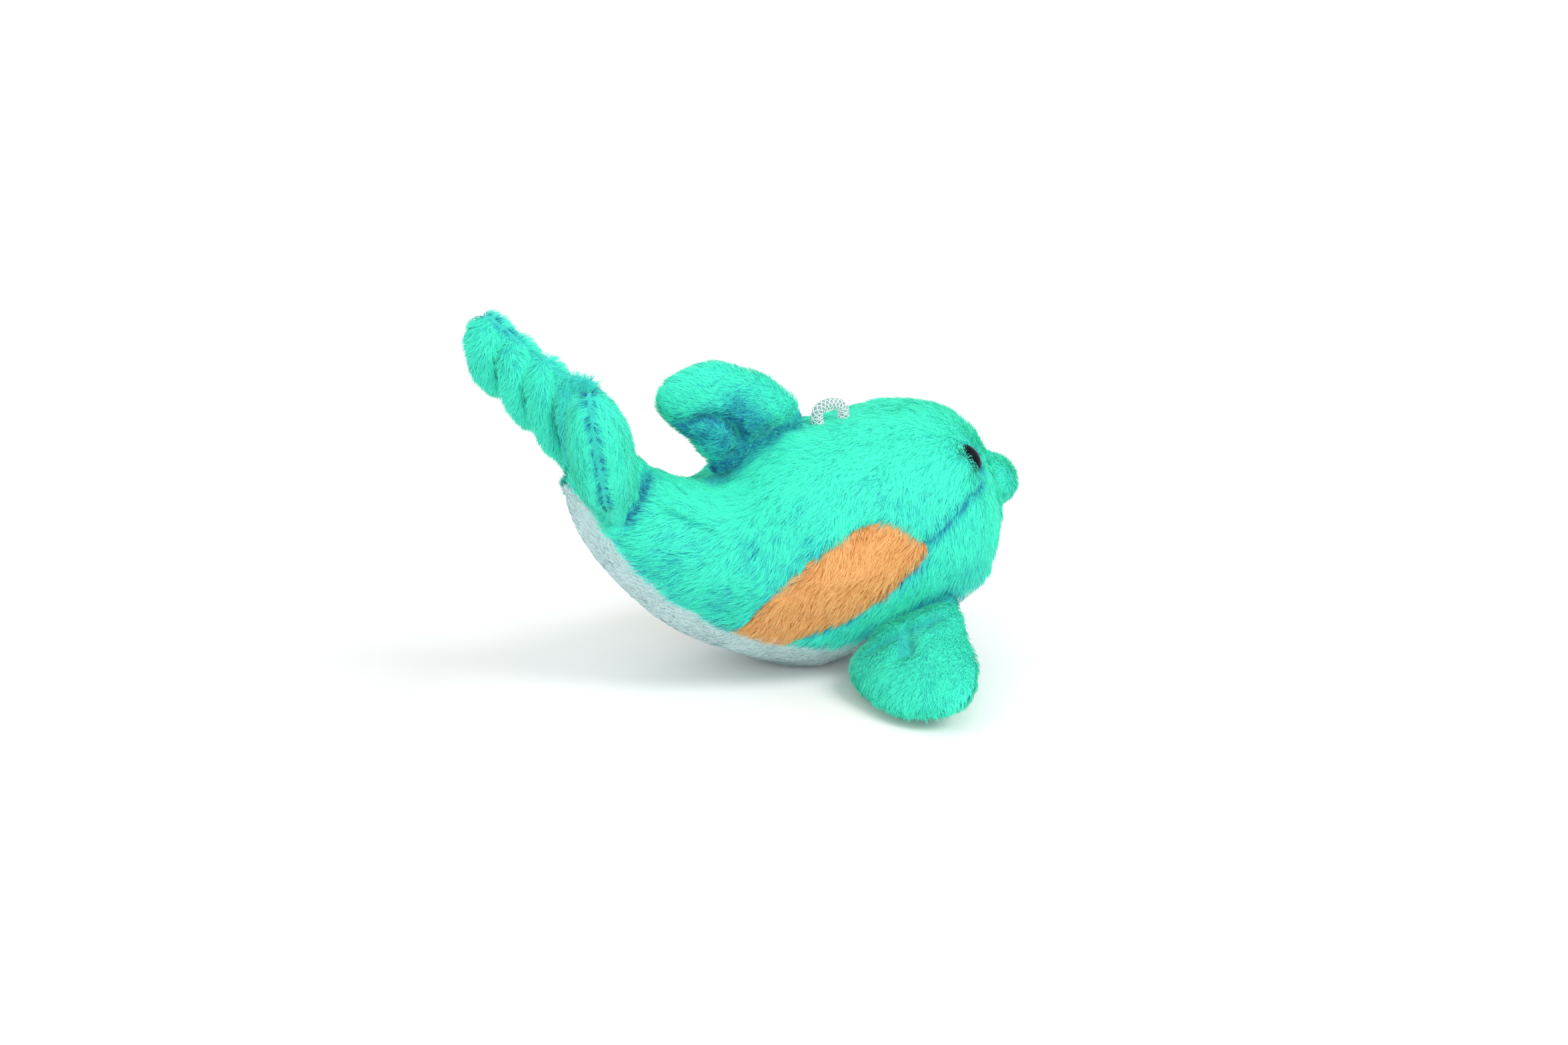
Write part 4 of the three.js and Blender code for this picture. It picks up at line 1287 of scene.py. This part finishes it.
def quiltRibs(skins, forms):
    hidden, quilted = [], []
    web = len(skins) - 1
    for index, (points, _) in enumerate(skins):
        high = np.abs(points[:, 2])
        under, groove = np.zeros(len(points), bool), np.zeros(len(points))
        for other, form in enumerate(forms):
            if other != index:
                height = pillowHeight(points, *form, limbs["pileDepth"])
                under |= high < height - limbs["overlap"]
                if web not in (index, other):
                    near = fade(high - height, limbs["grooveWidth"]) * (height > 0)
                    groove = np.maximum(groove, near)
        hidden.append(under)
        quilted.append(groove)
    return np.concatenate(hidden), np.concatenate(quilted)


def shadeCoverRoots(node, kind, roots, at, shade):
    pile = coverPile
    drawn = np.full(len(at), pile["seam"][kind])
    atBody = 1 - smooth(*pile["bodyReach"], at[:, 0])
    if kind == "fluke":
        drawn = drawn * (pile["ribSeam"] + (1 - pile["ribSeam"]) * smooth(*pile["lastRib"], at[:, 0]))
        atBody = np.zeros(len(at))
        if "rear" in node:
            # painted shade in the V between the flukes, and deeper in the rear cover's rib grooves
            deep = pile["betweenFlukes"] * smooth(*pile["betweenReach"], at[:, 0])
            shade = np.clip(shade * pile["rearGroove"] + deep, 0, 1)
    # painted shade along the edge seam where the pile parts, in broken stretches
    shadedStretches = softNoise(roots + 15, 1.1)[:, 1] > -0.15
    seam = fade(at[:, 2], pile["seamWidth"]) * shadedStretches * drawn
    # painted shade: creases and rib grooves, the seam, and the limb's root against the body
    dark = np.clip(np.maximum(shade, seam) + pile["atBody"] * atBody, 0, 1)
    if node == "dorsal_fin_right_cover":
        # painted shade over the fin's lower half, round and below its fold
        fromFold = fromLine(roots, evenly(folds["finCrease"]["line"], 14))
        low = smooth(*pile["finFoldReach"], fromFold) * smooth(*pile["finFoldHeight"], at[:, 0])
        patchy = 1 + 0.35 * softNoise(roots + 5, 2.0)[:, 0]
        dark = np.clip(dark + pile["finFoldDark"] * low * patchy, 0, 1)
    short = np.clip(pile["short"] * shade + pile["shortAtBody"] * atBody, 0, pile["short"])
    parted = fade(at[:, 2], pile["partingWidth"]) * drawn
    return dark, short, parted


def makeCover(limb, cover, side, skins, materials, bodyTree):
    node = f"{limb}_{cover}_cover"
    label, kind, place = camel(node), kindOf(limb), limbPlaces[limb]
    outward = place[0] @ np.array([0, 0, side])
    hidden, quilted = quiltRibs(skins, limbForms(limb))
    local, faces = joined([(points * (1, 1, side), faces[:, ::side]) for points, faces in skins])
    local[:, 2] -= side * np.minimum(limbs["grooveDepth"] * quilted, np.abs(local[:, 2]) * 0.7)
    points = toWorld(place, local)
    normals = vertexNormals(points, faces)
    if (normals @ outward).mean() < 0:
        faces, normals = faces[:, ::-1], -normals
    share, depth = foldAt(points, coverFolds.get(node, []))
    points = points - normals * depth[:, None]
    normals = vertexNormals(points, faces)
    free = outsideOf(bodyTree, points, -limbs["intoBody"])
    points[:, 2] = np.maximum(points[:, 2], limbs["fromFloor"])
    faces = faces[~hidden[faces].all(1) & free[faces].any(1)]
    piece = addMesh(label, *keepFaces(points, faces), materials["turquoiseBacking"])
    declare(piece, limb, node)
    corners, weights = scatter(points, faces, pileSizes["limb"]["density"])
    roots = spreadOver(points, corners, weights)
    rootNormals = unit(spreadOver(normals, corners, weights))
    # painted shade in the creases and in the grooves between ribs
    shade = (np.maximum(share, quilted)[corners] * weights).sum(1)
    good = outsideOf(bodyTree, roots, 0.1) & ((hidden[corners] * weights).sum(1) <= 0.5)
    roots, rootNormals, shade = roots[good], rootNormals[good], shade[good]
    dark, short, parted = shadeCoverRoots(node, kind, roots, toLimb(place, roots), shade)
    combed = place[0] @ np.array(limbs[kind]["comb"]) + outward * (coverPile["parting"] * parted)[:, None]
    growPile(
        label + "Pile", limb, "limb", materials["turquoise"],
        roots, rootNormals, combed, dark, short, coverPile["bright"], coverPile["streaks"][kind],
    )


def makeFilling(limb, skins, materials, bodyTree):
    place = limbPlaces[limb]
    halves = [(points * (1, 1, side), faces[:, ::side]) for points, faces in skins for side in (1, -1)]
    local, faces = joined(halves)
    points = toWorld(place, local)
    size, height = limbs["fillingLumps"]
    points = points + softNoise(points, size) * height
    free = outsideOf(bodyTree, points, -0.2) & (toLimb(place, points)[:, 0] > limbs["fillingFrom"])
    faces = faces[free[faces].all(1)]
    piece = addMesh(camel(limb + "_filling"), *keepFaces(points, faces), materials["filling"])
    declare(piece, limb, limb + "_filling")


def makeLimb(limb, materials, bodyTree):
    forms, sizes = limbForms(limb), limbs[kindOf(limb)]
    skins = [stuffedSkin(*form, sizes["rings"]) for form in forms]
    for cover, side in limbCovers[limb].items():
        makeCover(limb, cover, side, skins, materials, bodyTree)
    padded = forms[:-1] if len(forms) > 1 else forms  # the web has no filling
    cores = [pillowSkin(*form, sizes["fillingDepth"], sizes["fillingRings"]) for form in padded]
    makeFilling(limb, cores, materials, bodyTree)
    print(limb, "made")


# Eyes: a domed button with a ribbed stem

eye = {
    "along": 0.055, "turn": 52, "radius": 3.0, "dome": 1.8, "rim": 0.7, "seat": -2.35,
    "shank": 1.0, "shankLength": 5.5, "ribs": 2, "ribHeight": 0.25, "facets": 64,
}
eyePlaces = [standFrame(eye["along"], side * eye["turn"]) for side in (-1, 1)]


def lathe(profile, place, count):
    profile = np.asarray(profile, float)
    angle = np.arange(count) * 2 * np.pi / count
    local = np.stack([
        profile[:, 0, None] * np.cos(angle), profile[:, 0, None] * np.sin(angle),
        np.repeat(profile[:, 1, None], count, 1),
    ], -1).reshape(-1, 3)
    return toWorld(place, local), gridFaces(len(profile), count)


def makeEyes(materials):
    seat, radius, shank, facets = eye["seat"], eye["radius"], eye["shank"], eye["facets"]
    arc = np.linspace(0, np.pi / 2, 20)
    dome = [(radius * math.cos(a) + 0.001, seat + eye["rim"] + eye["dome"] * math.sin(a)) for a in arc]
    foot = seat - eye["shankLength"]
    stem = [(0.01, foot), (shank * 0.6, foot)]
    pitch = (eye["shankLength"] - 2) / (eye["ribs"] + 1)
    for k in range(eye["ribs"]):
        z = foot + pitch * (k + 0.4)
        stem += [(shank, z), (shank + eye["ribHeight"], z + pitch * 0.5), (shank, z + pitch * 0.55)]
    stem += [(shank, seat), (radius - 0.15, seat), (radius, seat + 0.12), (radius, seat + eye["rim"])]
    for place, word in zip(eyePlaces, ("right", "left")):
        piece = addMesh("eyeButton" + word.title(), *lathe(stem + dome, place, facets), materials["eye"])
        # the rim faces carry the painted reflection
        piece.data.materials.append(materials["eyeRim"])
        for index in range((len(stem) - 4) * facets, (len(stem) + 1) * facets):
            piece.data.polygons[index].material_index = 1
        declare(piece, "body", "eye_" + word)
    print("eyes made")


# Hanging loop: braided cord over a darker core tube, whose grey-cyan is painted shade inside the braid, and
# its knot behind the back seam

loop = {
    "along": 0.243, "span": 5.4, "height": 4.3, "radius": 1.15, "gap": -0.7,
    "knot": 5.0, "depth": 2.0, "strands": 5, "pitch": 3.8, "thread": 0.105,
}
loopPlace = standFrame(loop["along"], 0)


def tubeAround(line, across, up, radius, sides):
    turn = (np.arange(sides) * 2 * np.pi / sides)[None, :, None]
    tube = line[:, None] + radius * (across[:, None] * np.cos(turn) + up[:, None] * np.sin(turn))
    return tube.reshape(-1, 3), gridFaces(len(line), sides)


def braid(name, route, materials):
    radius, strands, pitch, thread = loop["radius"], loop["strands"], loop["pitch"], loop["thread"]
    route = evenly(route, 90)
    along = unit(np.gradient(route, axis=0))
    up = unit(np.cross(along, loopPlace[0][:, 1]))
    across = unit(np.cross(up, along))
    turned = 2 * np.pi * walkAlong(route) / pitch
    tubes = []
    for hand in (-1, 1):
        for k in range(strands):
            angle = (hand * turned + 2 * np.pi * k / strands)[:, None]
            weave = radius - thread * 0.9 + hand * thread * 0.45 * np.cos(strands * turned)
            line = route + (across * np.cos(angle) + up * np.sin(angle)) * weave[:, None]
            tangent = unit(np.gradient(line, axis=0))
            first = unit(np.cross(tangent, line - route))
            tubes.append(tubeAround(line, first, np.cross(tangent, first), thread, 5))
    woven = sum(len(faces) for _, faces in tubes)
    # the darker core tube, painted shade between the threads
    tubes.append(tubeAround(route, across, up, radius - thread * 1.5, 12))
    made = addMesh(name, *joined(tubes), materials["cord"])
    made.data.materials.append(materials["core"])
    for polygon in made.data.polygons[woven:]:
        polygon.material_index = 1
    return made


def makeLoop(materials):
    side, rise = loop["span"] / 2, loop["radius"] + loop["gap"]
    top = loop["height"] - 2 * loop["radius"] - 0.3
    arch = [(side * math.cos(a), 0, rise + top * math.sin(a)) for a in np.linspace(np.pi, 0, 11)]
    arch = [(-side, 0, rise - 0.6)] + arch + [(side, 0, rise - 0.6)]
    made = braid("hangingLoop", toWorld(loopPlace, np.array(arch)), materials)
    declare(made, "hang_loop", "hang_loop")
    low = -loop["depth"] - 0.35 - loop["knot"] / 2
    lines = []
    for x in (-side, side):
        deep = -loop["depth"]
        lines.append([(x, 0, 0.1), (x, 0, deep / 2), (x * 0.8, 0, deep), (x * 0.4, 0, low)])
    turns = np.linspace(0, 5.6, 12)
    lines.append([(1.2 * math.cos(a), 1.1 * math.sin(a), low + 0.9 * math.sin(2 * a)) for a in turns])
    for k, line in enumerate(lines):
        made = braid(f"loopKnot{k}", toWorld(loopPlace, np.array(line)), materials)
        declare(made, "body", "loop_knot" if k == 2 else None)
    print("hanging loop made")


def finishWashers(materials):
    for word in ("right", "left"):
        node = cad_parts["eye_washer_" + word]
        node.data.materials.clear()
        node.data.materials.append(materials["washer"])


def makeFloor(material):
    size = 6000
    points = [(-size, -size, 0), (size, -size, 0), (size, size, 0), (-size, size, 0)]
    floor = addMesh("floor", points, np.array([[0, 1, 2, 3]]), material, smoothed=False)


def makeWorld():
    world = bpy.data.worlds.new("softRoom")
    world.use_nodes = True
    tree = world.node_tree
    shader = tree.nodes["Background"]
    shader.inputs[0].default_value = (1, 1, 1, 1)
    shader.inputs[1].default_value = worldLight
    bpy.context.scene.world = world


def main():
    makeCamera()
    makeLamps()
    makeWorld()
    bpy.context.scene.view_settings.view_transform = "Standard"
    materials = {name: pileMaterial(name) for name in pileColours}
    materials.update({name + "Backing": backingMaterial(name) for name in pileColours})
    materials.update({name: plainMaterial(finish) for name, finish in plainFinishes.items()})
    makeFloor(floorMaterial())
    bodyTree = makeBody(materials)
    makeStuffing(materials)
    makeSnout(materials, bodyTree)
    for limb in limbCovers:
        makeLimb(limb, materials, bodyTree)
    makeEyes(materials)
    makeLoop(materials)
    finishWashers(materials)
    print("scene made")


main()
